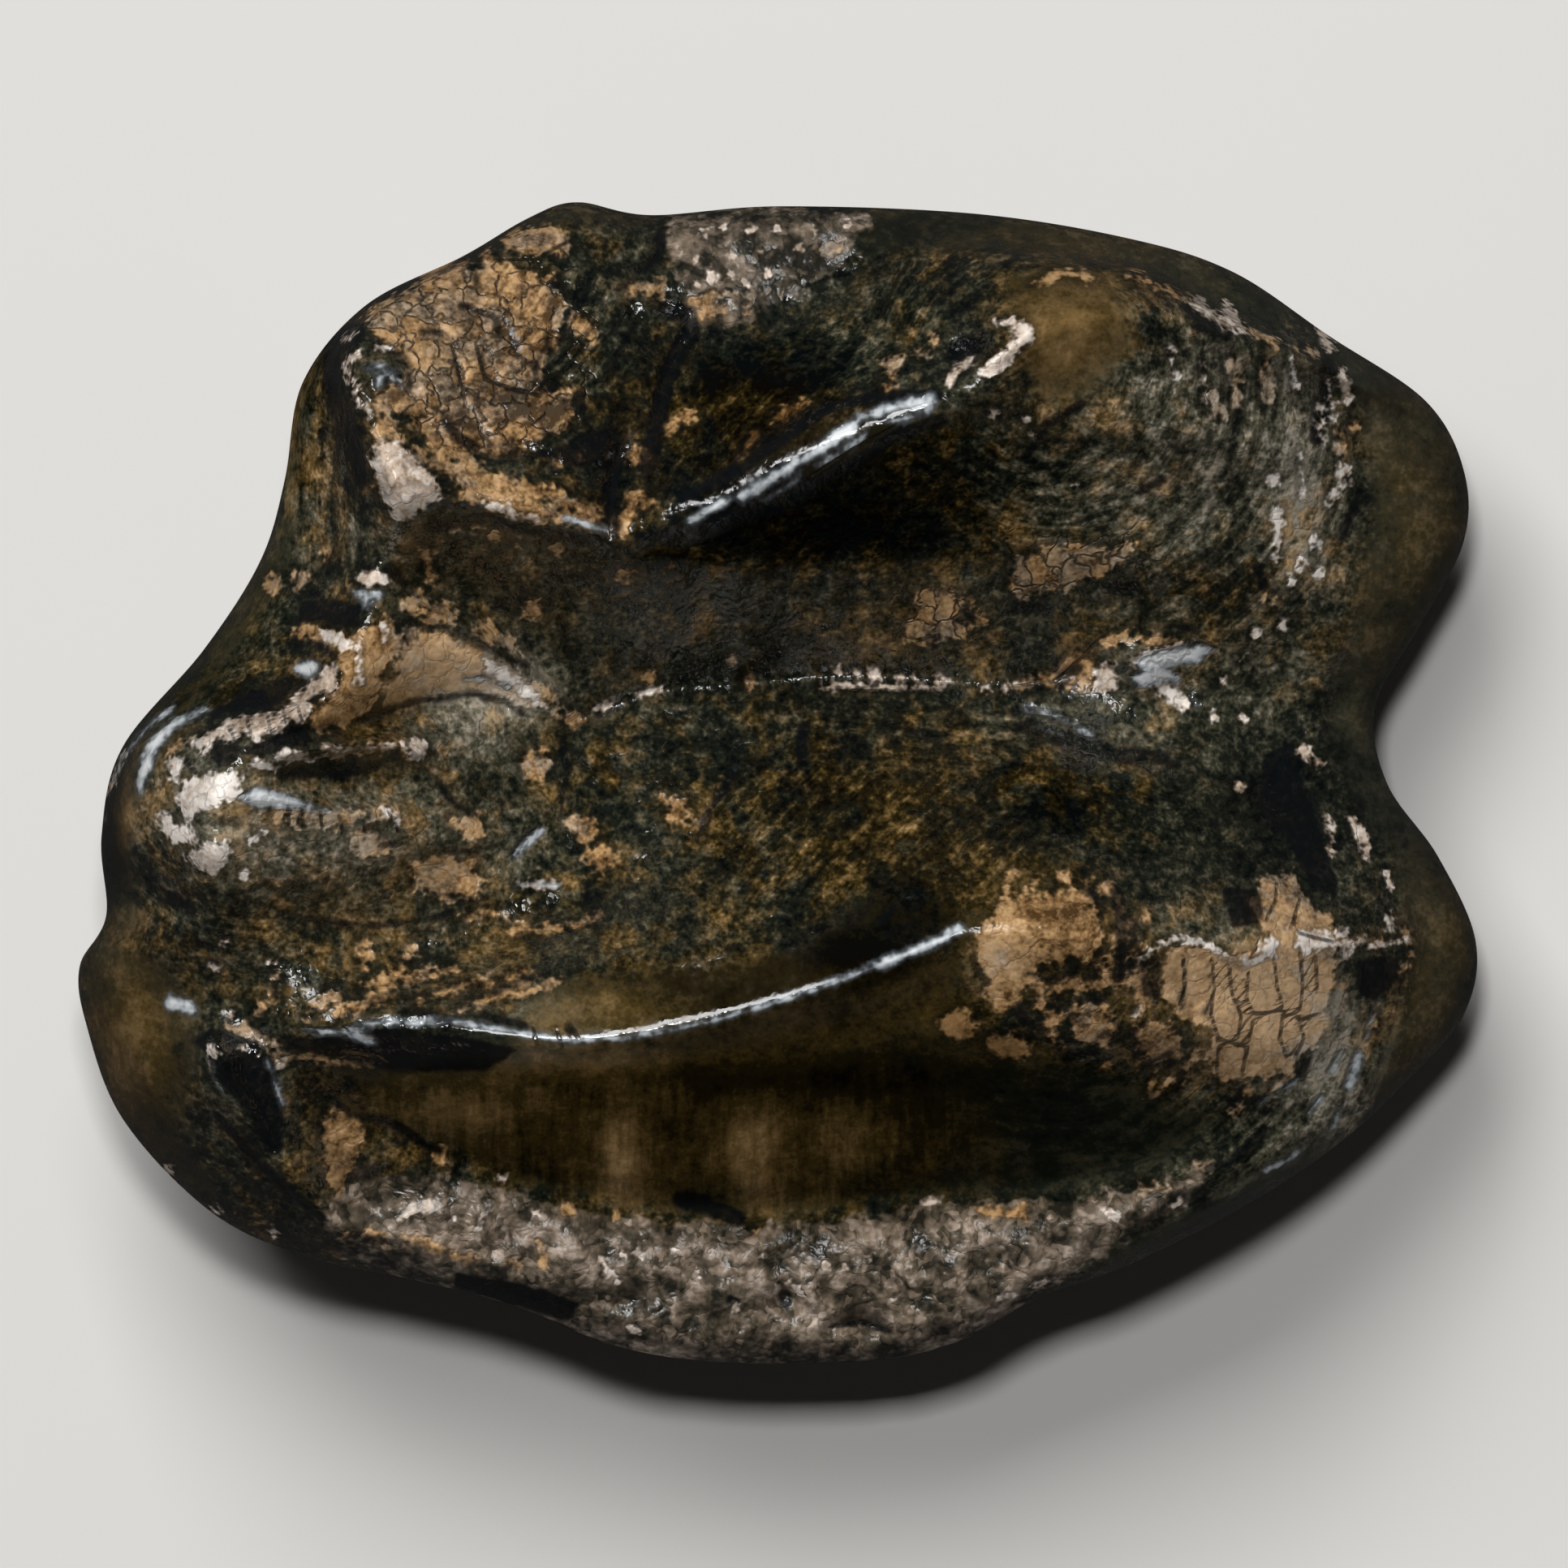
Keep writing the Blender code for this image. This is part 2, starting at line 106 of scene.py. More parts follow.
# The widest contour of the crown, clockwise from the rear of the cheek side.
OUTLINE = [
    (710, 248, 7.6), (800, 264, 7.6), (960, 253, 7.5), (1200, 262, 7.4), (1390, 292, 7.0), (1520, 333, 6.4),
    (1640, 412, 5.5), (1760, 492, 4.8), (1808, 580, 4.5), (1806, 670, 4.5), (1750, 775, 4.8),
    (1697, 870, 5.2), (1712, 965, 5.0), (1775, 1055, 4.7), (1822, 1160, 4.5), (1808, 1250, 4.6),
    (1740, 1330, 4.9), (1650, 1412, 5.6), (1530, 1490, 6.4), (1390, 1560, 7.0), (1280, 1600, 7.3),
    (1190, 1650, 7.5), (1085, 1676, 7.6), (900, 1680, 7.6), (760, 1660, 7.6), (640, 1612, 7.6),
    (520, 1580, 7.6), (380, 1550, 7.5), (260, 1495, 7.3), (150, 1380, 7.1), (104, 1260, 7.2),
    (97, 1190, 7.5), (130, 1130, 8.0), (124, 1030, 7.8), (150, 920, 7.6), (250, 800, 7.4), (320, 690, 7.4),
    (350, 590, 7.2), (372, 470, 7.2), (450, 375, 7.4), (570, 315, 7.6), (650, 268, 7.6),
]

# Crests keep a sharp edge.
FRONT_CREST = [
    (290, 1255, 14.6), (380, 1265, 15.7), (460, 1258, 16.3), (560, 1262, 16.8), (640, 1277, 17.0),
    (700, 1282, 17.0), (780, 1278, 17.0), (900, 1250, 17.1), (1000, 1220, 17.2), (1100, 1180, 17.3),
    (1200, 1138, 17.4),
]
FRONT_STYLE = [(272, 1286, 15.9), (300, 1345, 15.3), (350, 1425, 13.6), (420, 1522, 11.4)]
FRONT_CUSP_RIB = [
    (262, 985, 18.8), (300, 975, 18.4), (350, 985, 17.8), (430, 1000, 16.9), (500, 1010, 15.8),
]
FRONT_CUSP_SPUR = [(350, 930, 17.9), (400, 922, 17.3), (470, 915, 16.4), (525, 930, 15.4)]
OUTER_WALL = [
    (262, 985, 18.8), (300, 920, 18.4), (350, 890, 18.0), (410, 860, 17.4), (440, 800, 16.7),
    (458, 730, 16.2), (472, 690, 15.7), (485, 655, 16.8), (498, 622, 18.8), (470, 560, 18.4),
    (450, 510, 17.8), (440, 450, 17.0), (448, 405, 15.6),
]
CENTRE_CREST = [
    (458, 725, 16.2), (500, 745, 15.7), (550, 765, 15.1), (600, 790, 14.3), (650, 840, 12.8),
    (700, 890, 11.3),
]
REAR_CREST = [
    (498, 622, 18.8), (560, 610, 17.9), (640, 630, 17.5), (720, 655, 17.0), (755, 662, 16.6),
    (790, 662, 16.9), (850, 640, 17.2), (900, 610, 17.3), (960, 575, 17.4), (1030, 540, 17.5),
    (1100, 517, 17.6), (1150, 505, 17.6), (1195, 478, 17.5),
]
FRONT_LEDGE_LIP = [
    (385, 1375, 13.1), (480, 1430, 12.0), (560, 1462, 11.3), (640, 1488, 10.8), (790, 1518, 10.3),
    (950, 1528, 10.1), (1130, 1508, 10.1), (1300, 1498, 10.2), (1400, 1480, 10.4), (1500, 1445, 10.5),
]
CRESTS = [
    FRONT_CREST, FRONT_STYLE, FRONT_CUSP_RIB, FRONT_CUSP_SPUR, OUTER_WALL, CENTRE_CREST, REAR_CREST,
    FRONT_LEDGE_LIP,
]

# Soft lines guide the sheet and are rounded off.
MIDDLE_VALLEY = [
    (700, 892, 11.1), (740, 875, 10.7), (800, 852, 10.4), (900, 842, 10.1), (1000, 832, 9.9),
    (1100, 833, 9.7), (1200, 842, 9.5), (1300, 852, 9.3), (1400, 852, 9.0), (1500, 856, 8.5),
    (1600, 866, 7.4), (1660, 872, 6.3),
]
FRONT_VALLEY = [
    (400, 1350, 13.1), (500, 1412, 11.5), (640, 1455, 10.3), (800, 1485, 9.5), (950, 1492, 9.2),
    (1100, 1482, 9.2), (1300, 1462, 9.5), (1450, 1420, 10.0), (1560, 1360, 10.0),
]
CUSP_HOLLOW = [(345, 952, 17.2), (420, 956, 15.7), (500, 964, 14.8)]
CENTRE_GROOVE = [
    (440, 905, 15.2), (480, 885, 14.3), (540, 862, 13.4), (600, 858, 12.8), (650, 872, 12.1),
    (698, 895, 11.2),
]
REAR_GROOVE = [(480, 700, 15.0), (530, 722, 14.0), (600, 755, 13.1), (660, 800, 12.1), (702, 868, 11.2)]
FRONT_BASIN = [
    (330, 1120, 16.0), (420, 1160, 14.7), (520, 1168, 13.9), (620, 1140, 13.2), (720, 1110, 12.9),
]
FRONT_CUSP_SLOPE = [
    (262, 1000, 18.7), (264, 1060, 18.0), (275, 1130, 16.5), (285, 1200, 14.9), (288, 1245, 14.4),
]
RIB_SLOPE = [(500, 1010, 15.8), (620, 1032, 13.6), (700, 1040, 12.3)]
FRONT_BEVEL = [
    (640, 1195, 15.7), (800, 1190, 16.0), (950, 1160, 16.1), (1080, 1112, 16.1), (1170, 1075, 15.9),
]
FRONT_FACE = [
    (640, 1350, 14.6), (800, 1352, 14.5), (950, 1330, 14.7), (1100, 1280, 15.3), (1250, 1265, 15.6),
]
FRONT_LOBE_RIDGE = [
    (1200, 1138, 17.4), (1290, 1140, 17.3), (1400, 1160, 16.2), (1510, 1168, 14.5), (1620, 1160, 12.0),
    (1700, 1163, 9.6), (1760, 1165, 7.0),
]
FRONT_LOBE_NORTH = [
    (1200, 1050, 15.0), (1300, 1050, 15.2), (1400, 1076, 14.5), (1500, 1090, 13.0), (1600, 1080, 10.8),
]
FRONT_LOBE_SOUTH = [(1270, 1262, 15.4), (1400, 1272, 14.6), (1500, 1280, 13.0), (1600, 1286, 10.9)]
REAR_LOBE_RIDGE = [
    (1195, 478, 17.5), (1245, 425, 17.5), (1310, 395, 17.2), (1400, 390, 16.1), (1500, 410, 14.3),
    (1600, 440, 11.8), (1680, 480, 9.2), (1740, 520, 6.6),
]
REAR_LOBE_NORTH = [(1120, 400, 13.9), (1200, 335, 14.2), (1330, 330, 14.2), (1450, 345, 12.8)]
REAR_LOBE_SOUTH = [(1290, 520, 15.6), (1400, 520, 15.1), (1500, 540, 13.5), (1600, 560, 11.0)]
REAR_LOBE_SLOPE = [(1250, 650, 13.2), (1350, 670, 12.6), (1450, 690, 11.7), (1550, 700, 10.3)]
REAR_CRACK = [
    (757, 640, 16.1), (768, 590, 14.9), (790, 520, 13.7), (820, 450, 12.9), (845, 400, 12.4),
    (830, 350, 11.7), (810, 300, 10.9),
]
REAR_CUSP_RIB = [(600, 600, 17.0), (615, 500, 15.6), (640, 400, 14.2), (660, 330, 12.9)]
REAR_CUSP_EDGE = [
    (448, 405, 15.6), (500, 368, 14.4), (580, 330, 13.2), (650, 300, 12.4), (710, 276, 11.6),
    (770, 290, 11.2),
]
REAR_LEDGE_INNER = [(850, 402, 12.2), (940, 402, 11.5), (1030, 365, 11.0), (1090, 320, 10.8)]
REAR_LEDGE_OUTER = [
    (820, 290, 10.6), (900, 284, 10.4), (980, 276, 10.2), (1060, 280, 10.3), (1160, 288, 10.4),
]
REAR_SHOULDER = [(1160, 288, 10.4), (1300, 305, 10.4), (1420, 335, 10.0), (1540, 385, 9.2)]
FRONT_LEDGE_EDGE = [
    (440, 1530, 10.8), (560, 1556, 10.3), (700, 1602, 9.8), (840, 1648, 9.4), (960, 1652, 9.2),
    (1080, 1646, 9.2), (1190, 1615, 9.4), (1290, 1570, 9.6), (1400, 1530, 9.8), (1530, 1465, 9.6),
]
STYLE_HOLLOW = [(400, 1345, 13.2), (432, 1420, 11.8), (440, 1490, 10.9)]
STYLE_BULGE = [(185, 1215, 12.6), (175, 1300, 12.4), (225, 1400, 11.4), (310, 1480, 10.6)]
FRONT_CUSP_BULGE = [(205, 900, 14.8), (170, 960, 14.6), (166, 1040, 13.4), (190, 1110, 12.6)]
OUTER_BULGE = [(330, 805, 13.2), (385, 725, 12.6), (405, 660, 12.6), (412, 590, 13.4), (402, 500, 13.0)]
LOBE_SHOULDER = [
    (1640, 450, 9.0), (1675, 540, 8.4), (1674, 640, 8.3), (1640, 740, 8.3), (1615, 820, 7.9),
    (1622, 900, 7.6), (1660, 990, 7.8), (1712, 1080, 8.1), (1735, 1165, 8.3), (1712, 1260, 8.1),
    (1650, 1350, 8.6), (1560, 1430, 9.3),
]
SOFT_LINES = [
    MIDDLE_VALLEY, FRONT_VALLEY, CUSP_HOLLOW, CENTRE_GROOVE, REAR_GROOVE, FRONT_BASIN, FRONT_CUSP_SLOPE,
    RIB_SLOPE, FRONT_BEVEL, FRONT_FACE, FRONT_LOBE_RIDGE, FRONT_LOBE_NORTH, FRONT_LOBE_SOUTH,
    REAR_LOBE_RIDGE, REAR_LOBE_NORTH, REAR_LOBE_SOUTH, REAR_LOBE_SLOPE, REAR_CRACK, REAR_CUSP_RIB,
    REAR_CUSP_EDGE, REAR_LEDGE_INNER, REAR_LEDGE_OUTER, REAR_SHOULDER, FRONT_LEDGE_EDGE, STYLE_HOLLOW,
    STYLE_BULGE, FRONT_CUSP_BULGE, OUTER_BULGE, LOBE_SHOULDER,
]

# Small lumps and pits: (across, down, radius in pixels, rise in millimetres).
LUMPS = [
    (470, 470, 34, 0.55), (440, 425, 22, 0.35), (1402, 826, 42, 0.6), (1200, 480, 30, 0.3),
    (1188, 436, 20, -0.7), (368, 842, 34, -1.0), (970, 1600, 22, -0.6), (1070, 1635, 24, -0.6),
    (880, 1600, 26, 0.3), (700, 1550, 30, 0.3), (1180, 1560, 30, 0.3), (270, 1045, 26, 0.2),
    (820, 420, 26, -0.4), (780, 320, 22, -0.35),
]

# Root stubs: (across, down, half width, half depth) of each worn end, in pixels.
ROOT_ENDS = [(345, 1200, 130, 205), (560, 560, 125, 165), (1470, 1180, 205, 165), (1450, 570, 200, 165)]
ROOT_EDGE_POINTS = 20
EDGE_INSIDE = 0.97  # share of a worn end that is held flat, as an area
FORK_HEIGHT = 3.7
FORK_LINES = [
    [(960, 470, 4.4), (960, 700, FORK_HEIGHT), (960, 960, FORK_HEIGHT), (960, 1250, FORK_HEIGHT),
     (960, 1480, 4.4)],
    [(330, 900, 4.2), (600, 900, FORK_HEIGHT), (1200, 880, FORK_HEIGHT), (1580, 880, 3.0)],
]
NECK_PINCH = 0.3  # how far the neck under the widest contour draws in
NECK_DROP = 2.0
NECK_REACH = 1.4

# Regions: closed outlines, strokes of (width in pixels, line), and dots of (across, down, radius).
SMOOTH_PATCHES = [
    [(1500, 345), (1640, 400), (1770, 490), (1815, 590), (1810, 680), (1750, 780), (1700, 870),
     (1712, 960), (1780, 1050), (1825, 1160), (1812, 1260), (1740, 1335), (1700, 1370), (1690, 1330),
     (1735, 1230), (1740, 1150), (1716, 1060), (1664, 980), (1640, 900), (1650, 820), (1672, 740),
     (1690, 650), (1686, 560), (1668, 480), (1640, 430), (1590, 395)],
    [(97, 1190), (130, 1150), (200, 1185), (245, 1230), (250, 1300), (225, 1400), (270, 1480), (200, 1450),
     (140, 1370), (104, 1270)],
    [(400, 1300), (640, 1280), (780, 1280), (900, 1255), (1100, 1190), (1180, 1165), (1195, 1260),
     (1270, 1290), (1400, 1330), (1500, 1380), (1440, 1440), (1300, 1470), (1120, 1480), (950, 1500),
     (800, 1490), (680, 1470), (560, 1420), (480, 1380)],
    [(640, 1225), (700, 1200), (850, 1190), (980, 1170), (1060, 1110), (1130, 1100), (1180, 1130),
     (1100, 1175), (1000, 1215), (900, 1245), (780, 1270), (700, 1272), (660, 1262)],
    [(840, 640), (900, 600), (1020, 530), (1150, 490), (1160, 510), (1060, 560), (960, 620), (860, 655)],
    [(1330, 1560), (1350, 1545), (1500, 1460), (1560, 1440), (1640, 1400), (1650, 1412), (1530, 1490),
     (1390, 1560)],
    [(1232, 345), (1290, 318), (1352, 330), (1392, 372), (1396, 430), (1350, 490), (1290, 500),
     (1262, 470), (1250, 420)],
]
SMOOTH_STROKES = [
    (12, [(345, 660), (362, 560), (376, 480), (414, 415), (455, 375), (560, 322), (650, 278), (710, 264),
     (810, 278)]),
    (54, [(1075, 282), (1200, 285), (1300, 300), (1400, 318), (1480, 350), (1560, 380)]),
    (48, [(150, 1140), (142, 1030), (165, 930), (262, 815), (325, 710), (345, 650)]),
    (40, [(600, 1266), (700, 1280), (780, 1277), (900, 1249), (1000, 1219), (1100, 1179), (1190, 1142)]),
]
ROUGH_PATCHES = [
    [(440, 1440), (480, 1450), (560, 1452), (640, 1470), (720, 1495), (790, 1505), (950, 1512),
     (1040, 1505), (1130, 1486), (1300, 1482), (1400, 1465), (1470, 1448), (1490, 1460), (1400, 1515),
     (1300, 1585), (1190, 1655), (1085, 1690), (900, 1695), (760, 1675), (640, 1620), (520, 1590),
     (430, 1550), (400, 1500)],
    [(822, 262), (960, 258), (1062, 264), (1070, 280), (1040, 330), (1000, 350), (940, 385), (900, 398),
     (850, 400), (835, 340)],
]
MATT_PATCHES = [
    [(420, 1330), (560, 1296), (800, 1300), (1000, 1262), (1180, 1216), (1300, 1280), (1500, 1340),
     (1600, 1400), (1560, 1440), (1300, 1512), (1000, 1528), (700, 1505), (520, 1430)],
    [(760, 680), (850, 662), (905, 640), (985, 610), (1070, 555), (1160, 525), (1230, 530), (1310, 570),
     (1340, 650), (1250, 690), (1100, 700), (900, 710), (780, 700)],
    [(800, 600), (820, 480), (870, 420), (960, 400), (1060, 380), (1130, 330), (1180, 400), (1140, 460),
     (1060, 485), (960, 535), (880, 585)],
    [(1230, 930), (1330, 940), (1450, 960), (1500, 1040), (1400, 1070), (1300, 1040), (1220, 1000)],
    [(615, 985), (700, 985), (710, 1100), (615, 1105)],
    [(1060, 1090), (1150, 1085), (1155, 1140), (1070, 1155)],
    [(690, 955), (760, 950), (800, 1000), (780, 1050), (740, 1120), (680, 1140), (690, 1060)],
    [(1010, 1160), (1080, 1120), (1180, 1110), (1170, 1180), (1060, 1230), (1000, 1200)],
    [(440, 330), (400, 400), (352, 470), (338, 560), (335, 640), (320, 700), (280, 770), (210, 850),
     (160, 920), (180, 960), (260, 890), (350, 830), (372, 790), (366, 720), (400, 660), (410, 600),
     (412, 500), (420, 420)],
]
# Black marks: blue-black enamel, and painted shade in hollows and grooves, under the crests and beside the
# rear crest's painted highlight.
BLACK_AND_SHADE_PATCHES = [
    [(240, 1280), (262, 1262), (330, 1286), (346, 1330), (352, 1380), (350, 1424), (330, 1420),
     (312, 1370), (290, 1346), (272, 1326), (262, 1296)],
    [(350, 1272), (380, 1276), (440, 1272), (480, 1264), (560, 1272), (640, 1290), (600, 1318),
     (500, 1318), (430, 1306), (400, 1298), (360, 1290)],
    [(1560, 930), (1592, 910), (1604, 960), (1620, 1000), (1640, 1066), (1650, 1110), (1610, 1090),
     (1590, 1040), (1550, 1000)],
    [(1666, 1182), (1722, 1176), (1715, 1215), (1696, 1232), (1672, 1226)],
    [(1500, 1092), (1548, 1096), (1556, 1120), (1545, 1142), (1516, 1140)],
    [(560, 1566), (640, 1580), (720, 1604), (700, 1628), (640, 1612), (560, 1588)],
    [(262, 880), (276, 868), (300, 862), (330, 850), (352, 836), (364, 834), (366, 848), (356, 862),
     (340, 872), (320, 876), (300, 874), (282, 880), (268, 892)],
    [(264, 934), (266, 918), (276, 912), (300, 918), (316, 918), (332, 910), (345, 906), (356, 898),
     (366, 892), (384, 892), (390, 908), (384, 920), (356, 922), (346, 930), (320, 932), (300, 932),
     (296, 944), (276, 948)],
    [(375, 742), (400, 738), (448, 746), (450, 770), (430, 776), (400, 766), (370, 768)],
    [(335, 945), (400, 938), (480, 936), (470, 948), (430, 958), (380, 960), (352, 960)],
    [(400, 420), (410, 405), (425, 400), (450, 400), (458, 424), (440, 430), (425, 436), (418, 470),
     (425, 500), (448, 530), (456, 575), (460, 600), (440, 600), (420, 540), (400, 480)],
    [(650, 562), (700, 548), (716, 534), (762, 534), (768, 552), (760, 590), (742, 580), (700, 574)],
    [(548, 512), (560, 520), (574, 538), (596, 552), (580, 560), (560, 546), (550, 530)],
]
BLACK_AND_SHADE_STROKES = [
    (24, [(800, 576), (808, 530), (816, 490), (828, 450), (842, 425), (852, 410), (846, 390), (820, 382)]),
    (12, [(786, 336), (806, 322), (814, 308), (814, 285)]),
    (14, [(842, 616), (900, 586), (960, 548), (1010, 510), (1060, 496), (1110, 492), (1156, 490)]),
    (16, [(790, 664), (850, 656), (900, 640), (960, 628), (1010, 592), (1066, 566), (1100, 540),
     (1160, 520)]),
    (24, [(1174, 442), (1186, 430), (1202, 430)]), (13, [(1262, 566), (1290, 526), (1330, 502)]),
    (16, [(1306, 840), (1328, 824)]), (13, [(1256, 744), (1292, 752)]),
    (9, [(1250, 892), (1290, 908), (1330, 926), (1380, 934), (1452, 942)]), (16, [(990, 898), (988, 930)]),
    (10, [(905, 952), (880, 992), (858, 1035)]), (17, [(216, 1106), (240, 1120)]),
    (9, [(1022, 1636), (1060, 1628), (1096, 1640)]), (11, [(600, 1250), (650, 1262)]),
    (16, [(1406, 1190), (1412, 1222)]), (9, [(1470, 404), (1510, 420)]), (10, [(1524, 510), (1516, 545)]),
    (17, [(1636, 446), (1632, 490), (1620, 540)]), (12, [(1670, 620), (1652, 660)]),
    (14, [(1548, 700), (1556, 720)]), (12, [(1440, 768), (1470, 776)]),
    (22, [(840, 1478), (870, 1484), (910, 1500)]), (16, [(1370, 724), (1400, 726)]),
    (13, [(1400, 608), (1430, 592)]), (10, [(1312, 1302), (1350, 1296)]),
    (12, [(1250, 1240), (1270, 1262)]), (10, [(1440, 1296), (1410, 1312)]),
    (14, [(1490, 1440), (1520, 1428), (1560, 1390)]), (12, [(1600, 1330), (1612, 1300)]),
    (8, [(500, 1240), (540, 1246)]), (13, [(726, 1090), (724, 1112)]),
    (12, [(270, 1372), (330, 1440), (400, 1500)]), (10, [(430, 1370), (480, 1380), (540, 1416)]),
    (12, [(900, 1600), (906, 1604)]), (16, [(966, 1596), (970, 1606)]),
    (10, [(364, 802), (384, 794), (404, 800), (414, 812)]), (6, [(446, 728), (466, 722)]),
    (9, [(236, 936), (246, 950)]), (8, [(568, 776), (590, 794), (620, 808), (650, 820)]),
    (13, [(480, 700), (500, 720)]), (8, [(506, 762), (524, 776)]), (9, [(700, 1262), (708, 1270)]),
    (8, [(524, 412), (544, 414)]), (9, [(570, 380), (600, 390), (618, 396)]), (7, [(586, 342), (592, 366)]),
    (7, [(628, 400), (632, 420), (646, 446), (660, 452), (676, 430), (678, 414)]),
    (6, [(562, 440), (570, 476), (590, 494)]), (6, [(596, 440), (600, 468), (624, 482), (660, 488)]),
    (7, [(612, 390), (618, 420)]), (8, [(640, 440), (660, 456), (664, 484)]), (9, [(704, 412), (706, 424)]),
    (9, [(466, 430), (500, 440), (508, 468), (508, 482)]), (7, [(514, 590), (540, 582), (560, 590)]),
    (6, [(528, 572), (550, 576)]), (8, [(506, 556), (516, 560)]),
    (7, [(564, 640), (600, 640), (660, 656), (700, 662)]), (8, [(720, 660), (750, 668)]),
    (20, [(756, 652), (752, 610), (758, 580), (764, 560)]), (10, [(716, 490), (720, 520)]),
    (12, [(590, 694), (604, 698)]), (12, [(646, 780), (654, 796)]),
    (10, [(446, 888), (484, 874), (520, 864), (550, 860), (586, 855), (615, 862), (645, 880)]),
    (9, [(694, 905), (698, 950), (690, 1000)]),
    (7, [(320, 1112), (380, 1130), (446, 1140), (510, 1136), (558, 1124)]), (5, [(500, 1230), (580, 1204)]),
    (5, [(560, 1238), (640, 1208)]), (6, [(450, 1235), (500, 1215)]), (5, [(610, 1222), (680, 1196)]),
    (8, [(1422, 1180), (1424, 1215), (1420, 1245)]), (5, [(1455, 1176), (1456, 1210), (1452, 1240)]),
    (6, [(1487, 1180), (1489, 1215), (1484, 1250)]), (16, [(1374, 1100), (1380, 1150), (1376, 1200)]),
    (9, [(1392, 1130), (1400, 1180)]),
    (9, [(1250, 876), (1290, 898), (1330, 911), (1385, 926), (1435, 929)]),
    (14, [(535, 652), (600, 640), (660, 656), (720, 668)]), (10, [(830, 640), (846, 656), (900, 640)]),
    (4, [(1340, 1090), (1356, 1120), (1352, 1150)]), (4, [(1325, 1084), (1346, 1110)]),
    (5, [(1262, 1196), (1290, 1206), (1320, 1200)]),
    (6, [(500, 1060), (530, 1094), (580, 1110), (620, 1098)]),
    (5, [(470, 1040), (520, 1036), (560, 1050), (600, 1046)]), (5, [(590, 960), (620, 985), (625, 1015)]),
    (6, [(540, 960), (560, 990), (600, 1010)]), (7, [(420, 1060), (470, 1090), (480, 1110)]),
    (5, [(350, 1050), (400, 1075), (430, 1100)]), (5, [(300, 1100), (340, 1085), (400, 1090)]),
    (9, [(1084, 1138), (1094, 1124), (1101, 1114)]), (5, [(1118, 1122), (1130, 1114)]),
    (4, [(1090, 1150), (1110, 1144), (1126, 1132)]),
]
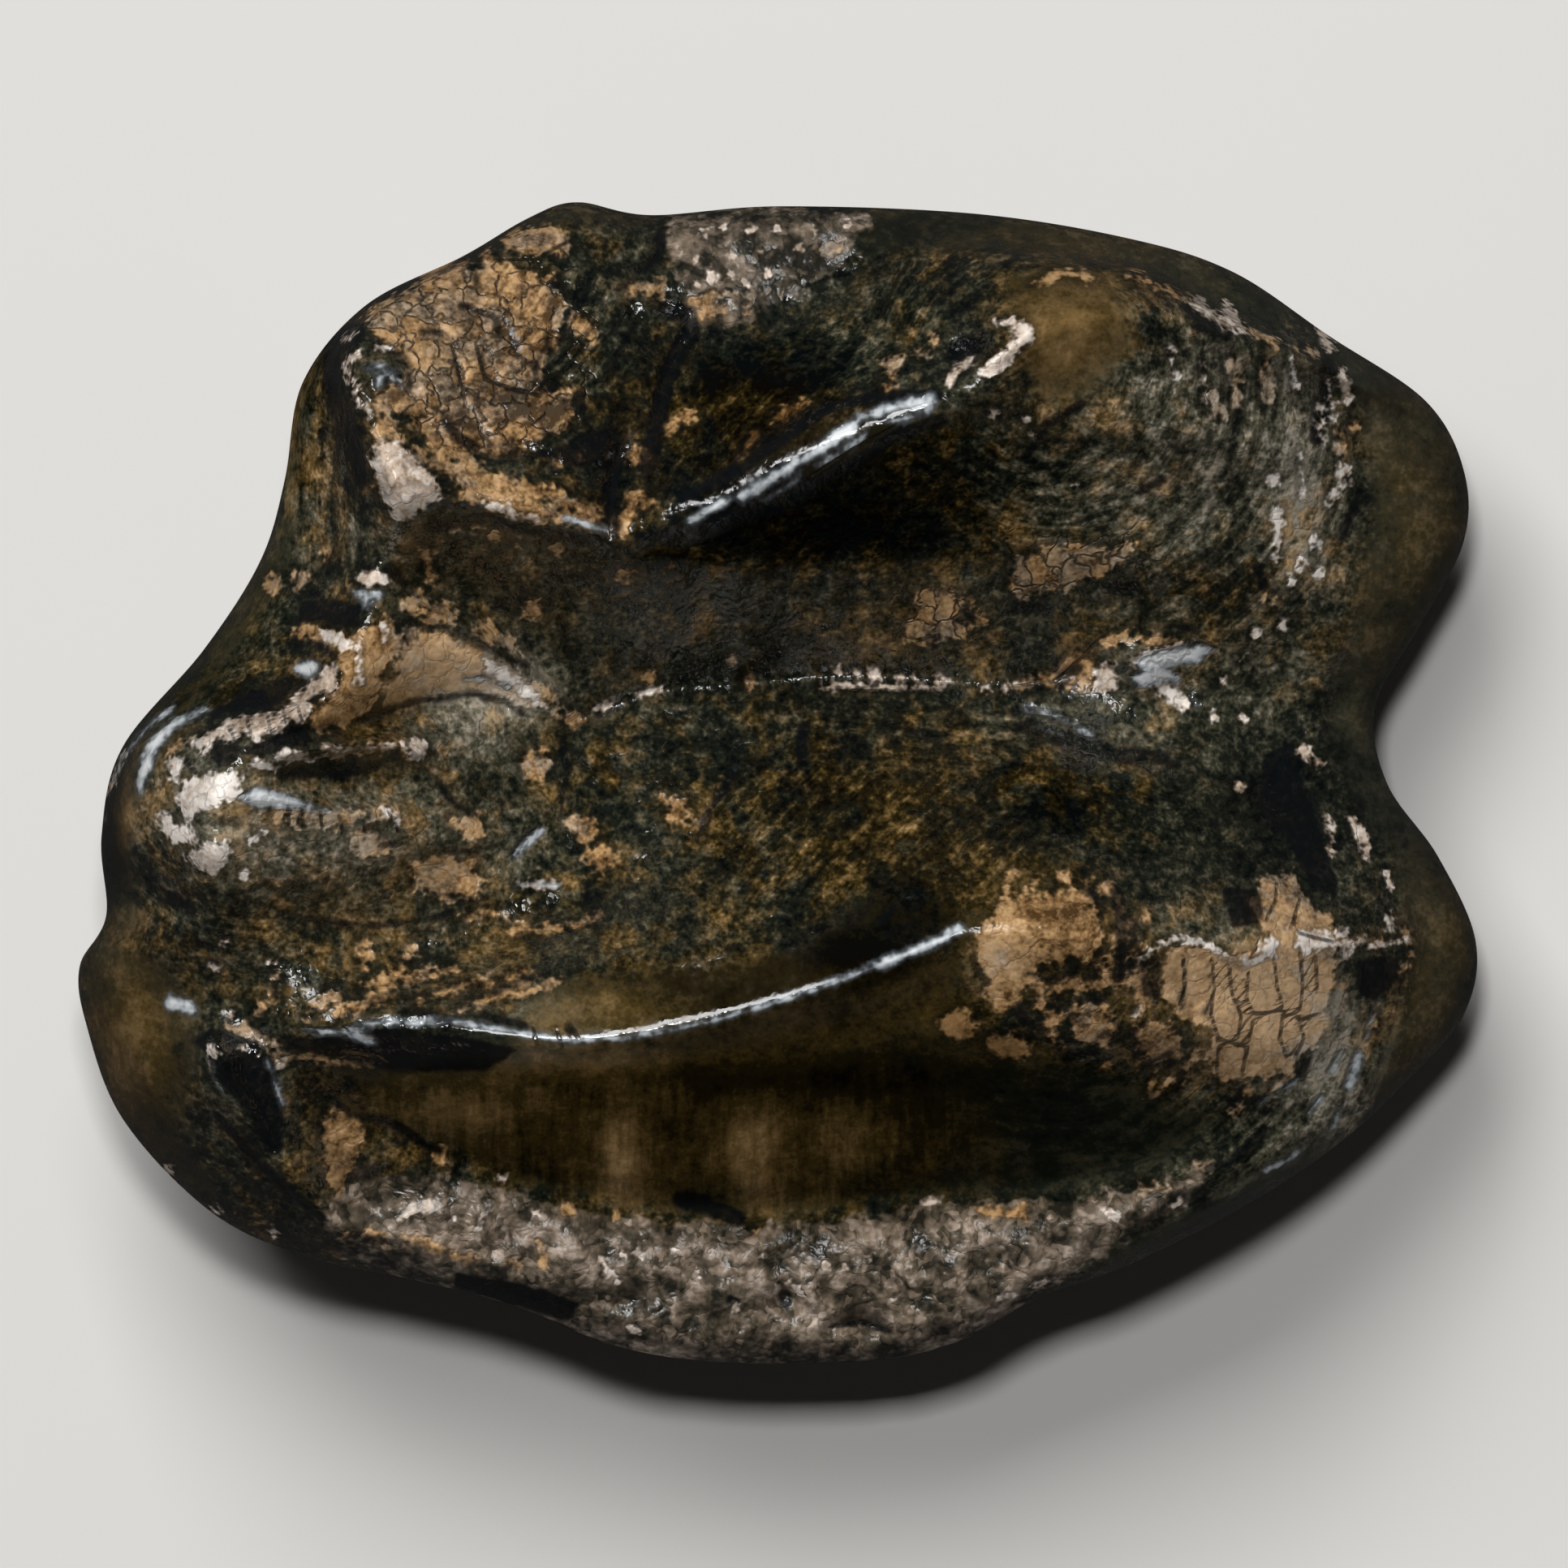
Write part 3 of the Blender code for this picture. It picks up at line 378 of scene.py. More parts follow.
TAN_PATCHES = [
    [(618, 298), (640, 286), (680, 280), (700, 292), (708, 310), (680, 316), (640, 312)],
    [(400, 1380), (420, 1360), (446, 1380), (440, 1420), (420, 1470), (402, 1450)],
    [(1250, 690), (1290, 672), (1350, 676), (1400, 668), (1380, 696), (1320, 722), (1262, 740),
     (1240, 716)],
    [(1110, 786), (1122, 764), (1150, 760), (1180, 768), (1184, 786), (1140, 792)],
    [(1240, 846), (1270, 832), (1300, 826), (1320, 812), (1330, 800), (1344, 812), (1340, 850),
     (1300, 846)],
    [(855, 372), (880, 366), (900, 384), (880, 396), (862, 392)],
    [(912, 360), (932, 356), (936, 384), (918, 386)],
    [(1008, 312), (1014, 296), (1030, 292), (1034, 312), (1018, 326)],
    [(400, 905), (388, 900), (386, 888), (398, 872), (412, 858), (422, 846), (424, 826), (432, 812),
     (441, 800), (446, 784), (460, 770), (478, 764), (492, 772), (500, 790), (490, 806), (478, 820),
     (470, 840), (466, 860), (454, 876), (436, 890), (418, 898)],
    [(360, 784), (368, 774), (384, 770), (398, 776), (416, 778), (430, 784), (440, 796), (438, 812),
     (430, 822), (424, 810), (416, 800), (408, 794), (398, 788), (384, 786), (370, 790)],
    [(498, 752), (500, 740), (512, 736), (518, 730), (528, 736), (530, 746), (518, 750), (510, 758)],
    [(520, 764), (526, 752), (540, 743), (556, 748), (566, 756), (568, 770), (556, 774), (544, 768),
     (536, 776), (526, 774)],
    [(578, 776), (590, 768), (606, 766), (616, 778), (632, 790), (644, 806), (632, 808), (612, 796),
     (592, 786)],
    [(318, 996), (340, 998), (348, 1010), (353, 1012), (356, 1002), (362, 1012), (370, 1014), (375, 1004),
     (380, 1014), (394, 1016), (398, 1006), (404, 1016), (420, 1018), (426, 1006), (432, 1016),
     (444, 1018), (450, 1008), (456, 1014), (466, 1006), (474, 1012), (486, 1008), (498, 994), (470, 998),
     (430, 999), (400, 1000), (370, 998), (340, 994)],
    # Painted highlight along the spur crest, in tan.
    [(402, 924), (420, 920), (450, 916), (480, 914), (500, 913), (506, 930), (490, 926), (450, 929),
     (420, 931), (404, 931)],
    [(452, 396), (460, 382), (476, 376), (492, 378), (508, 388), (520, 400), (514, 412), (500, 424),
     (512, 428), (540, 426), (556, 440), (562, 460), (566, 484), (548, 496), (530, 488), (514, 478),
     (516, 464), (504, 452), (492, 440), (484, 426), (486, 410), (470, 404)],
    [(666, 494), (680, 486), (700, 488), (708, 500), (700, 518), (684, 522), (672, 512)],
    [(700, 384), (716, 394), (738, 402), (744, 416), (730, 424), (712, 414), (700, 400)],
    [(518, 338), (545, 328), (578, 324), (572, 342), (540, 350)],
    [(462, 502), (480, 500), (508, 504), (530, 508), (546, 500), (560, 506), (552, 516), (536, 518),
     (512, 518), (492, 516), (470, 512)],
    [(504, 530), (516, 522), (532, 520), (546, 532), (560, 548), (580, 562), (600, 572), (586, 578),
     (560, 572), (540, 566), (534, 548), (520, 536)],
    [(462, 530), (476, 520), (494, 522), (498, 536), (480, 540), (466, 546)],
    [(600, 560), (616, 546), (636, 540), (652, 548), (640, 560), (620, 566)],
    [(564, 622), (570, 602), (580, 582), (592, 580), (594, 600), (612, 606), (642, 612), (664, 620),
     (702, 622), (716, 632), (740, 646), (720, 652), (700, 644), (650, 648), (632, 642), (612, 632),
     (600, 624), (584, 626)],
    [(466, 540), (480, 536), (496, 540), (500, 556), (500, 575), (512, 582), (528, 578), (538, 590),
     (500, 600), (474, 610), (467, 600), (468, 580), (468, 560)],
    [(1426, 1184), (1440, 1168), (1480, 1166), (1540, 1180), (1556, 1150), (1540, 1108), (1560, 1080),
     (1592, 1076), (1612, 1108), (1640, 1140), (1644, 1180), (1636, 1230), (1634, 1262), (1618, 1290),
     (1600, 1304), (1590, 1322), (1560, 1326), (1530, 1320), (1500, 1336), (1494, 1300), (1496, 1262),
     (1470, 1256), (1450, 1252), (1430, 1222)],
    [(1392, 1190), (1406, 1180), (1416, 1200), (1414, 1236), (1402, 1246), (1394, 1222)],
    [(1318, 1242), (1345, 1232), (1368, 1250), (1374, 1275), (1350, 1290), (1325, 1280)],
    [(1396, 1262), (1426, 1256), (1452, 1275), (1450, 1300), (1420, 1312), (1400, 1292)],
    [(1118, 740), (1140, 726), (1170, 730), (1189, 750), (1170, 775), (1130, 779)],
    [(500, 770), (540, 778), (600, 800), (640, 830), (690, 880), (640, 868), (590, 850), (540, 860),
     (500, 875), (470, 880), (480, 840), (494, 810)],
    [(455, 395), (480, 372), (520, 350), (560, 335), (600, 330), (640, 335), (680, 350), (700, 380),
     (690, 420), (670, 450), (672, 490), (700, 520), (690, 540), (650, 545), (610, 560), (570, 560),
     (540, 540), (520, 520), (480, 505), (470, 490), (500, 470), (500, 440), (470, 420)],
    [(505, 1060), (540, 1052), (580, 1060), (598, 1080), (585, 1104), (545, 1108), (515, 1090)],
    [(560, 1010), (590, 1005), (600, 1025), (575, 1035)],
    [(430, 1020), (470, 1024), (480, 1045), (445, 1050)], [(640, 930), (668, 925), (680, 950), (655, 965)],
    [(700, 1010), (730, 1005), (742, 1030), (715, 1040)],
    [(720, 1055), (745, 1045), (760, 1060), (740, 1080)],
    [(815, 985), (845, 985), (850, 1010), (825, 1018)],
    [(1196, 1160), (1206, 1140), (1224, 1126), (1234, 1112), (1252, 1108), (1262, 1096), (1280, 1104),
     (1296, 1096), (1312, 1104), (1326, 1096), (1338, 1110), (1352, 1120), (1346, 1136), (1356, 1152),
     (1350, 1170), (1338, 1184), (1322, 1176), (1306, 1186), (1290, 1180), (1276, 1192), (1264, 1214),
     (1250, 1236), (1228, 1242), (1212, 1226), (1216, 1204), (1204, 1190)],
    [(1372, 1120), (1380, 1112), (1386, 1130), (1376, 1140)],
    [(1352, 1092), (1366, 1084), (1370, 1096), (1356, 1102)],
    [(1300, 1080), (1312, 1074), (1318, 1084), (1304, 1090)],
    [(1156, 1256), (1176, 1244), (1196, 1250), (1206, 1266), (1190, 1280), (1166, 1276)],
    [(1214, 1276), (1240, 1266), (1264, 1276), (1262, 1296), (1236, 1302), (1216, 1292)],
    [(1300, 1206), (1320, 1200), (1330, 1214), (1312, 1222)],
    [(1340, 1204), (1352, 1196), (1366, 1204), (1358, 1222), (1344, 1220)],
    [(1280, 1246), (1296, 1240), (1304, 1254), (1290, 1262)],
]
TAN_STROKES = [
    (14, [(290, 1262), (310, 1270), (340, 1290), (352, 1304)]), (8, [(362, 1302), (396, 1302)]),
    (8, [(410, 1304), (462, 1308)]), (14, [(785, 358), (812, 352), (820, 372)]),
    (22, [(778, 566), (792, 566)]), (18, [(764, 650), (780, 622), (796, 620)]),
    (10, [(1362, 790), (1400, 786), (1450, 792)]), (12, [(1340, 812), (1345, 842)]),
    (6, [(1392, 342), (1440, 362), (1500, 394), (1560, 420), (1620, 436)]),
    (12, [(1517, 450), (1524, 470), (1518, 496)]), (13, [(1558, 456), (1560, 492)]),
    (8, [(1650, 534), (1648, 556)]), (8, [(1644, 1160), (1690, 1162), (1735, 1158)]),
    (10, [(1732, 1150), (1738, 1172), (1728, 1196)]), (12, [(1204, 1492), (1262, 1494)]),
    (14, [(1478, 1432), (1488, 1438)]), (18, [(1410, 1466), (1430, 1468)]),
    (14, [(425, 1522), (470, 1524)]), (12, [(480, 1536), (515, 1526), (545, 1540), (590, 1554)]),
    (10, [(578, 1130), (600, 1124), (622, 1128)]),
    (6, [(632, 1146), (690, 1142), (718, 1138), (738, 1124)]), (12, [(440, 1240), (470, 1226)]),
    (8, [(470, 1214), (484, 1206)]), (12, [(450, 1160), (452, 1190)]), (8, [(820, 698), (838, 696)]),
    (10, [(1180, 772), (1210, 764)]), (12, [(1256, 712), (1258, 732)]), (8, [(960, 516), (990, 500)]),
    (10, [(916, 560), (930, 540)]), (8, [(820, 536), (850, 516)]),
    (6, [(216, 926), (232, 914), (248, 908)]),
    (9, [(575, 796), (610, 815), (640, 832), (668, 852), (692, 872)]),
    (8, [(676, 344), (686, 368), (694, 396)]), (8, [(540, 596), (556, 604)]), (9, [(400, 866), (414, 858)]),
    (5, [(470, 1222), (540, 1200), (560, 1190)]), (5, [(520, 1232), (600, 1204)]),
    (5, [(570, 1240), (660, 1208)]), (5, [(600, 1212), (650, 1192)]), (4, [(500, 1205), (550, 1186)]),
    (4, [(640, 1225), (690, 1205)]), (5, [(450, 1212), (500, 1192)]), (5, [(1290, 1262), (1310, 1290)]),
    (6, [(1470, 1290), (1460, 1330)]), (5, [(1440, 1330), (1420, 1350)]), (5, [(1540, 1340), (1520, 1370)]),
    (5, [(1580, 1330), (1560, 1366)]), (8, [(850, 372), (880, 366), (930, 360)]),
    (20, [(516, 562), (560, 584), (600, 598), (680, 612), (735, 634)]),
    (7, [(1276, 352), (1300, 340), (1340, 345)]), (4, [(1362, 1150), (1376, 1156), (1384, 1150)]),
    (4, [(1358, 1176), (1370, 1186), (1384, 1184)]), (4, [(1270, 1092), (1276, 1080)]),
    (3, [(1240, 1100), (1236, 1086)]), (4, [(1330, 1092), (1338, 1078)]), (5, [(1282, 1220), (1300, 1232)]),
    (4, [(1386, 1176), (1398, 1168)]),
]
TAN_DOTS = [
    (604, 318, 7), (706, 888, 10), (772, 712, 9), (1132, 440, 9), (1098, 452, 12), (1150, 422, 7),
    (1094, 480, 6), (1190, 742, 7), (1566, 740, 9), (1670, 522, 8), (1498, 508, 8), (1490, 490, 6),
    (505, 1178, 7), (515, 1168, 6), (345, 1204, 6), (398, 1238, 8), (412, 1226, 9), (384, 1250, 6),
    (420, 1248, 6), (345, 1226, 5), (322, 1244, 7), (300, 1262, 6), (920, 840, 7), (900, 814, 5),
    (800, 834, 7), (668, 1550, 9), (700, 1490, 6), (640, 1560, 9), (930, 1516, 8), (760, 1496, 6),
    (446, 1396, 8), (540, 1424, 8), (668, 1532, 8), (1692, 1262, 8), (404, 684, 6), (345, 1086, 6),
    (656, 752, 13), (565, 652, 5), (588, 650, 5), (612, 664, 6), (604, 644, 4), (640, 674, 5),
    (690, 676, 6), (530, 700, 6), (533, 712, 7), (690, 570, 6), (720, 566, 5), (528, 684, 8),
    (338, 720, 11), (374, 716, 12), (1385, 1130, 7), (1378, 1210, 6), (1300, 1215, 9), (1280, 1235, 7),
    (1340, 1212, 8), (1420, 1330, 6), (1366, 1310, 6), (1375, 1110, 5), (1382, 1142, 6), (1372, 1166, 5),
    (1354, 1192, 7), (1322, 1207, 6), (1278, 1214, 7), (1400, 1160, 5), (1410, 1130, 4), (1244, 1078, 5),
]
# Pale marks: worn pale dentine, and painted highlights and glints along the middle valley, on the ledges, at
# the rims, on the spur crest and on the hypocone tip.
PALE_WEAR_AND_HIGHLIGHT_PATCHES = [
    [(1222, 400), (1240, 394), (1258, 398), (1271, 412), (1268, 426), (1250, 440), (1236, 456),
     (1216, 470), (1206, 462), (1216, 448), (1238, 434), (1250, 418), (1240, 408)],
    [(1462, 378), (1478, 366), (1490, 384), (1504, 390), (1510, 366), (1524, 388), (1532, 410),
     (1516, 408), (1500, 404), (1480, 392)],
    [(1622, 392), (1634, 398), (1646, 432), (1636, 436), (1626, 416)],
    [(1646, 458), (1655, 452), (1664, 478), (1668, 500), (1658, 500), (1650, 480)],
    [(1564, 624), (1580, 620), (1584, 640), (1578, 650), (1576, 690), (1566, 690), (1568, 650)],
    [(1346, 850), (1350, 822), (1362, 812), (1376, 828), (1378, 846), (1364, 852)],
    [(1384, 820), (1410, 806), (1440, 796), (1470, 792), (1450, 815), (1420, 812), (1400, 824)],
    [(1420, 848), (1436, 840), (1452, 846), (1468, 868), (1462, 878), (1448, 868), (1436, 860)],
    [(1660, 1008), (1668, 1004), (1682, 1022), (1690, 1046), (1682, 1060), (1676, 1040)],
    [(478, 1508), (492, 1498), (506, 1482), (518, 1474), (545, 1480), (546, 1492), (520, 1494),
     (500, 1504)],
    [(582, 1518), (588, 1500), (598, 1478), (604, 1466), (602, 1492), (594, 1516)],
    [(1356, 1490), (1368, 1486), (1380, 1498), (1376, 1510), (1366, 1500)],
    [(226, 962), (240, 960), (256, 954), (280, 952), (302, 953), (311, 958), (297, 968), (304, 972),
     (309, 977), (286, 986), (268, 992), (256, 997), (246, 1004), (240, 1012), (234, 1002), (222, 990),
     (224, 978), (232, 970)],
    [(240, 916), (252, 906), (266, 900), (280, 893), (294, 887), (306, 880), (314, 884), (322, 880),
     (334, 881), (342, 884), (352, 878), (360, 871), (366, 862), (372, 853), (382, 848), (388, 839),
     (398, 833), (402, 824), (410, 820), (418, 826), (421, 840), (418, 850), (408, 855), (398, 853),
     (388, 856), (384, 866), (386, 876), (381, 886), (372, 889), (362, 887), (354, 893), (350, 901),
     (343, 904), (337, 899), (331, 903), (327, 912), (319, 914), (314, 905), (308, 902), (303, 909),
     (296, 915), (286, 914), (276, 908), (268, 913), (264, 922), (263, 931), (257, 928), (250, 920)],
    [(214, 938), (220, 932), (230, 934), (231, 944), (226, 956), (219, 962), (212, 958), (216, 948)],
    [(201, 1004), (210, 999), (220, 1004), (222, 1014), (232, 1019), (244, 1024), (252, 1033), (246, 1040),
     (234, 1036), (222, 1038), (210, 1031), (205, 1018)],
    [(234, 1054), (246, 1046), (260, 1038), (276, 1037), (290, 1037), (291, 1048), (286, 1060),
     (280, 1072), (268, 1077), (254, 1072), (242, 1064)],
    [(306, 938), (322, 936), (338, 938), (350, 944), (344, 948), (326, 945), (310, 943)],
    [(347, 934), (354, 927), (370, 926), (390, 928), (398, 932), (386, 936), (362, 937)],
    [(503, 912), (512, 908), (526, 912), (529, 922), (524, 936), (514, 936), (506, 926)],
    [(441, 712), (448, 704), (466, 703), (476, 708), (480, 718), (470, 722), (456, 724), (444, 722)],
    [(398, 778), (414, 778), (428, 786), (434, 800), (426, 806), (418, 796), (404, 790)],
    [(600, 812), (640, 836), (664, 858), (676, 878), (660, 868), (634, 850), (604, 832)],
    [(1598, 1150), (1618, 1146), (1642, 1152), (1644, 1166), (1622, 1170), (1604, 1174), (1598, 1164)],
    [(1556, 1156), (1564, 1150), (1570, 1160), (1566, 1182), (1556, 1180)],
    [(1646, 572), (1656, 567), (1663, 584), (1652, 596)],
    [(1640, 602), (1650, 602), (1645, 620), (1632, 630)], [(1656, 596), (1668, 582), (1665, 602)],
    [(1612, 664), (1622, 657), (1627, 670), (1616, 680)], [(1598, 686), (1611, 688), (1602, 706)],
    [(1586, 708), (1598, 712), (1590, 726)],
    [(462, 560), (480, 545), (500, 552), (520, 575), (540, 590), (545, 612), (520, 632), (500, 648),
     (486, 634), (472, 610)],
]
PALE_WEAR_AND_HIGHLIGHT_STROKES = [
    (10, [(1168, 474), (1180, 458), (1192, 450)]), (9, [(736, 874), (756, 866)]),
    (8, [(790, 854), (818, 850)]), (4, [(1010, 845), (1080, 846), (1160, 847)]),
    (8, [(642, 1090), (686, 1090)]), (6, [(1635, 1008), (1642, 1032)]), (7, [(1709, 1074), (1713, 1092)]),
    (7, [(1711, 1126), (1712, 1144)]), (7, [(1440, 1486), (1456, 1480)]),
    (8, [(743, 1550), (752, 1568), (762, 1580)]), (8, [(778, 1634), (786, 1644)]),
    (7, [(952, 1588), (966, 1578), (982, 1584), (988, 1594)]), (6, [(1128, 1488), (1150, 1480)]),
    (8, [(1274, 1584), (1288, 1580)]), (6, [(1230, 1600), (1250, 1592)]), (7, [(447, 797), (447, 842)]),
    (6, [(476, 768), (478, 792)]), (6, [(157, 926), (148, 946), (138, 968), (131, 978)]),
    (4, [(404, 925), (450, 921), (500, 919)]), (5, [(468, 433), (484, 432)]),
    (7, [(446, 438), (434, 448), (431, 462), (438, 476), (444, 484)]),
    (5, [(442, 488), (446, 500), (460, 513)]), (6, [(427, 421), (441, 412)]),
    (5, [(1404, 1184), (1424, 1162), (1440, 1155), (1470, 1159), (1500, 1168), (1512, 1182), (1530, 1187),
     (1548, 1180), (1556, 1160)]),
    (4, [(1644, 1162), (1700, 1164), (1735, 1158)]), (5, [(600, 622), (632, 636), (664, 641)]),
    (4, [(1636, 470), (1644, 520)]), (4, [(1624, 500), (1630, 550)]), (5, [(1600, 560), (1604, 610)]),
    (4, [(1590, 440), (1596, 480)]), (4, [(1440, 430), (1446, 470)]), (4, [(1480, 450), (1482, 500)]),
]
PALE_WEAR_AND_HIGHLIGHT_DOTS = [
    (1032, 827, 6), (1054, 828, 5), (1076, 830, 7), (1108, 834, 5), (1130, 834, 4), (1158, 838, 7),
    (1214, 849, 5), (1236, 850, 4), (1568, 594, 9), (1624, 704, 6), (1546, 780, 7), (1582, 770, 7),
    (1530, 812, 6), (1506, 838, 5), (1496, 882, 5), (1532, 884, 5), (1526, 969, 7), (1608, 926, 7),
    (1624, 940, 7), (1640, 1048, 6), (1656, 1172, 7), (1652, 1150, 6), (1292, 1498, 5), (1018, 1558, 6),
    (1040, 1560, 5), (1070, 1548, 5), (1162, 1573, 5), (906, 1612, 5), (766, 1546, 6), (788, 1542, 6),
    (740, 1548, 5), (618, 1450, 6), (660, 1492, 5), (268, 1294, 7), (304, 1290, 4), (322, 1296, 4),
    (290, 1248, 5), (268, 1190, 5), (282, 1160, 5), (340, 1184, 5), (206, 1442, 6), (268, 1490, 6),
    (338, 1518, 5), (902, 318, 7), (984, 306, 6), (868, 288, 5), (926, 286, 5), (890, 280, 4),
    (956, 280, 5), (858, 322, 6), (878, 344, 8), (918, 350, 5), (900, 340, 5), (860, 352, 5),
    (1002, 286, 5), (1044, 280, 6), (948, 338, 5), (935, 310, 4), (842, 316, 4), (1326, 598, 3),
    (1268, 536, 4), (1222, 512, 5), (1264, 520, 4), (1398, 1244, 4), (350, 1308, 6), (560, 1498, 5),
    (860, 1570, 4), (940, 1546, 4), (1100, 1600, 4), (1210, 1510, 4), (1120, 1560, 3), (830, 1540, 4),
    (1000, 1620, 4), (880, 1540, 3), (545, 612, 5), (629, 631, 5), (480, 1000, 7), (492, 1010, 6),
    (316, 1034, 5), (330, 1028, 5), (306, 1076, 6), (652, 1088, 5),
]
# Painted highlights: reflections of the lamps painted on crests, ridges, rims and glossy spots, bluish grey
# at the edge and white in the middle, with less roughness there.
PAINTED_HIGHLIGHT_PATCHES = [
    [(1390, 830), (1440, 822), (1462, 840), (1440, 842), (1400, 846)],
    [(1664, 1302), (1674, 1290), (1681, 1300), (1676, 1330), (1664, 1346), (1654, 1340), (1660, 1320)],
    [(204, 1236), (214, 1224), (240, 1232), (252, 1250), (232, 1248), (212, 1246)],
    [(300, 981), (312, 974), (326, 970), (342, 974), (356, 979), (372, 985), (388, 991), (404, 996),
     (424, 999), (410, 1002), (390, 1000), (366, 997), (344, 996), (322, 997), (310, 990)],
    [(368, 826), (372, 816), (386, 812), (398, 818), (396, 828), (386, 836), (374, 834)],
    [(436, 728), (450, 726), (474, 728), (478, 736), (462, 742), (458, 754), (450, 752), (448, 740),
     (438, 736)],
    [(467, 474), (470, 464), (480, 460), (498, 456), (500, 461), (486, 466), (476, 472), (474, 482),
     (468, 482)],
    [(452, 456), (470, 452), (484, 454), (478, 458), (460, 462)],
    [(168, 976), (172, 958), (176, 938), (184, 918), (196, 902), (212, 888), (230, 880), (250, 872),
     (262, 875), (250, 884), (232, 891), (218, 902), (207, 915), (198, 930), (192, 948), (187, 964),
     (180, 978)],
    [(1395, 815), (1430, 802), (1475, 792), (1500, 800), (1480, 815), (1440, 822), (1410, 830)],
    [(842, 648), (862, 632), (890, 617), (904, 612), (900, 622), (876, 636), (858, 646)],
    [(905, 616), (935, 593), (965, 573), (985, 566), (987, 578), (965, 592), (938, 611), (915, 622)],
    [(930, 623), (948, 614), (972, 600), (987, 585), (986, 594), (966, 608), (946, 619)],
    [(980, 572), (1000, 554), (1030, 531), (1055, 514), (1067, 516), (1055, 537), (1029, 553), (1003, 569),
     (986, 577)],
    [(1002, 577), (1030, 562), (1055, 543), (1070, 530), (1067, 542), (1052, 556), (1030, 568),
     (1012, 578)],
    [(1066, 514), (1090, 499), (1120, 494), (1150, 490), (1152, 501), (1123, 508), (1095, 515),
     (1077, 521)],
    [(1086, 525), (1112, 515), (1140, 508), (1151, 506), (1138, 515), (1112, 523)],
]
PAINTED_HIGHLIGHT_STROKES = [
    (7, [(376, 1267), (400, 1269), (424, 1268), (446, 1262), (470, 1259)]),
    (5, [(264, 1302), (268, 1324), (280, 1344)]), (5, [(330, 1302), (342, 1325), (350, 1360)]),
    (8, [(1654, 1296), (1640, 1320)]), (7, [(1652, 1366), (1644, 1390)]), (7, [(1628, 1352), (1610, 1372)]),
    (9, [(1560, 1442), (1580, 1434), (1598, 1422)]), (5, [(1650, 1250), (1652, 1280)]),
    (6, [(1690, 1250), (1684, 1280)]), (5, [(1550, 1360), (1600, 1330)]), (14, [(445, 1274), (460, 1280)]),
    (9, [(700, 641), (722, 648), (744, 655)]), (6, [(486, 470), (498, 474), (500, 482)]),
    (8, [(480, 1256), (520, 1257), (560, 1257), (600, 1264), (650, 1272), (700, 1279), (780, 1276),
     (840, 1264), (900, 1249), (1000, 1218), (1080, 1187)]),
    (13, [(1080, 1187), (1120, 1172), (1160, 1155), (1180, 1142)]), (5, [(490, 1462), (486, 1490)]),
    (5, [(505, 1460), (500, 1492)]), (6, [(520, 1466), (516, 1496)]), (5, [(540, 1470), (536, 1494)]),
    (5, [(556, 1474), (552, 1490)]), (6, [(585, 1470), (580, 1500)]), (5, [(604, 1466), (600, 1490)]),
    (6, [(1262, 872), (1300, 882), (1345, 906)]), (6, [(1440, 842), (1466, 850), (1474, 868)]),
    (6, [(140, 960), (160, 925), (185, 895), (215, 870)]), (4, [(175, 985), (180, 950), (200, 915)]),
    (5, [(125, 990), (128, 1010)]), (11, [(636, 1052), (652, 1036), (668, 1022)]),
    (6, [(636, 1092), (660, 1088), (688, 1092)]), (7, [(628, 846), (600, 836), (574, 838)]),
]
CRACKLE_PATCHES = [
    [(440, 370), (560, 330), (700, 310), (740, 360), (740, 440), (720, 520), (660, 560), (560, 560),
     (480, 540), (510, 470), (450, 420)],
    [(1230, 660), (1420, 650), (1440, 720), (1240, 745)],
    [(1100, 715), (1200, 715), (1200, 795), (1100, 795)],
]
CRACKS = [
    [(1600, 1150), (1640, 1160)], [(310, 886), (314, 904)], [(334, 882), (340, 902)],
    [(354, 876), (358, 892)], [(372, 872), (378, 888)], [(288, 898), (294, 912)], [(360, 996), (361, 1014)],
    [(378, 1000), (378, 1018)], [(400, 1004), (402, 1020)], [(424, 1008), (426, 1024)],
    [(450, 1006), (454, 1024)], [(484, 1002), (496, 1026)], [(704, 1258), (712, 1272)],
    [(1250, 846), (1300, 840), (1332, 812), (1352, 790), (1366, 780)], [(560, 430), (570, 470), (576, 500)],
    [(590, 430), (600, 470), (626, 480), (666, 490)], [(700, 300), (660, 322), (612, 322)],
    [(500, 1260), (502, 1272)], [(528, 1258), (530, 1270)], [(660, 1266), (664, 1284)],
    [(690, 1270), (694, 1288)], [(1120, 322), (1100, 356), (1086, 390)],
    [(1000, 590), (1046, 560), (1100, 530)], [(1455, 1180), (1458, 1210), (1452, 1240)],
    [(1491, 1184), (1494, 1215), (1490, 1248), (1500, 1280), (1498, 1320)],
    [(1512, 1190), (1516, 1225), (1528, 1250), (1524, 1280)],
    [(1536, 1200), (1534, 1230), (1544, 1250), (1536, 1290), (1530, 1318)],
    [(1544, 1250), (1580, 1244), (1600, 1256), (1622, 1250)],
    [(1568, 1180), (1572, 1215), (1580, 1244), (1576, 1280), (1584, 1300)],
    [(1600, 1170), (1604, 1210), (1600, 1256), (1606, 1280), (1596, 1300)],
    [(1560, 1130), (1570, 1110), (1572, 1090)], [(1590, 1140), (1600, 1110)], [(1500, 1280), (1536, 1290)],
    [(1620, 1180), (1622, 1220)],
]

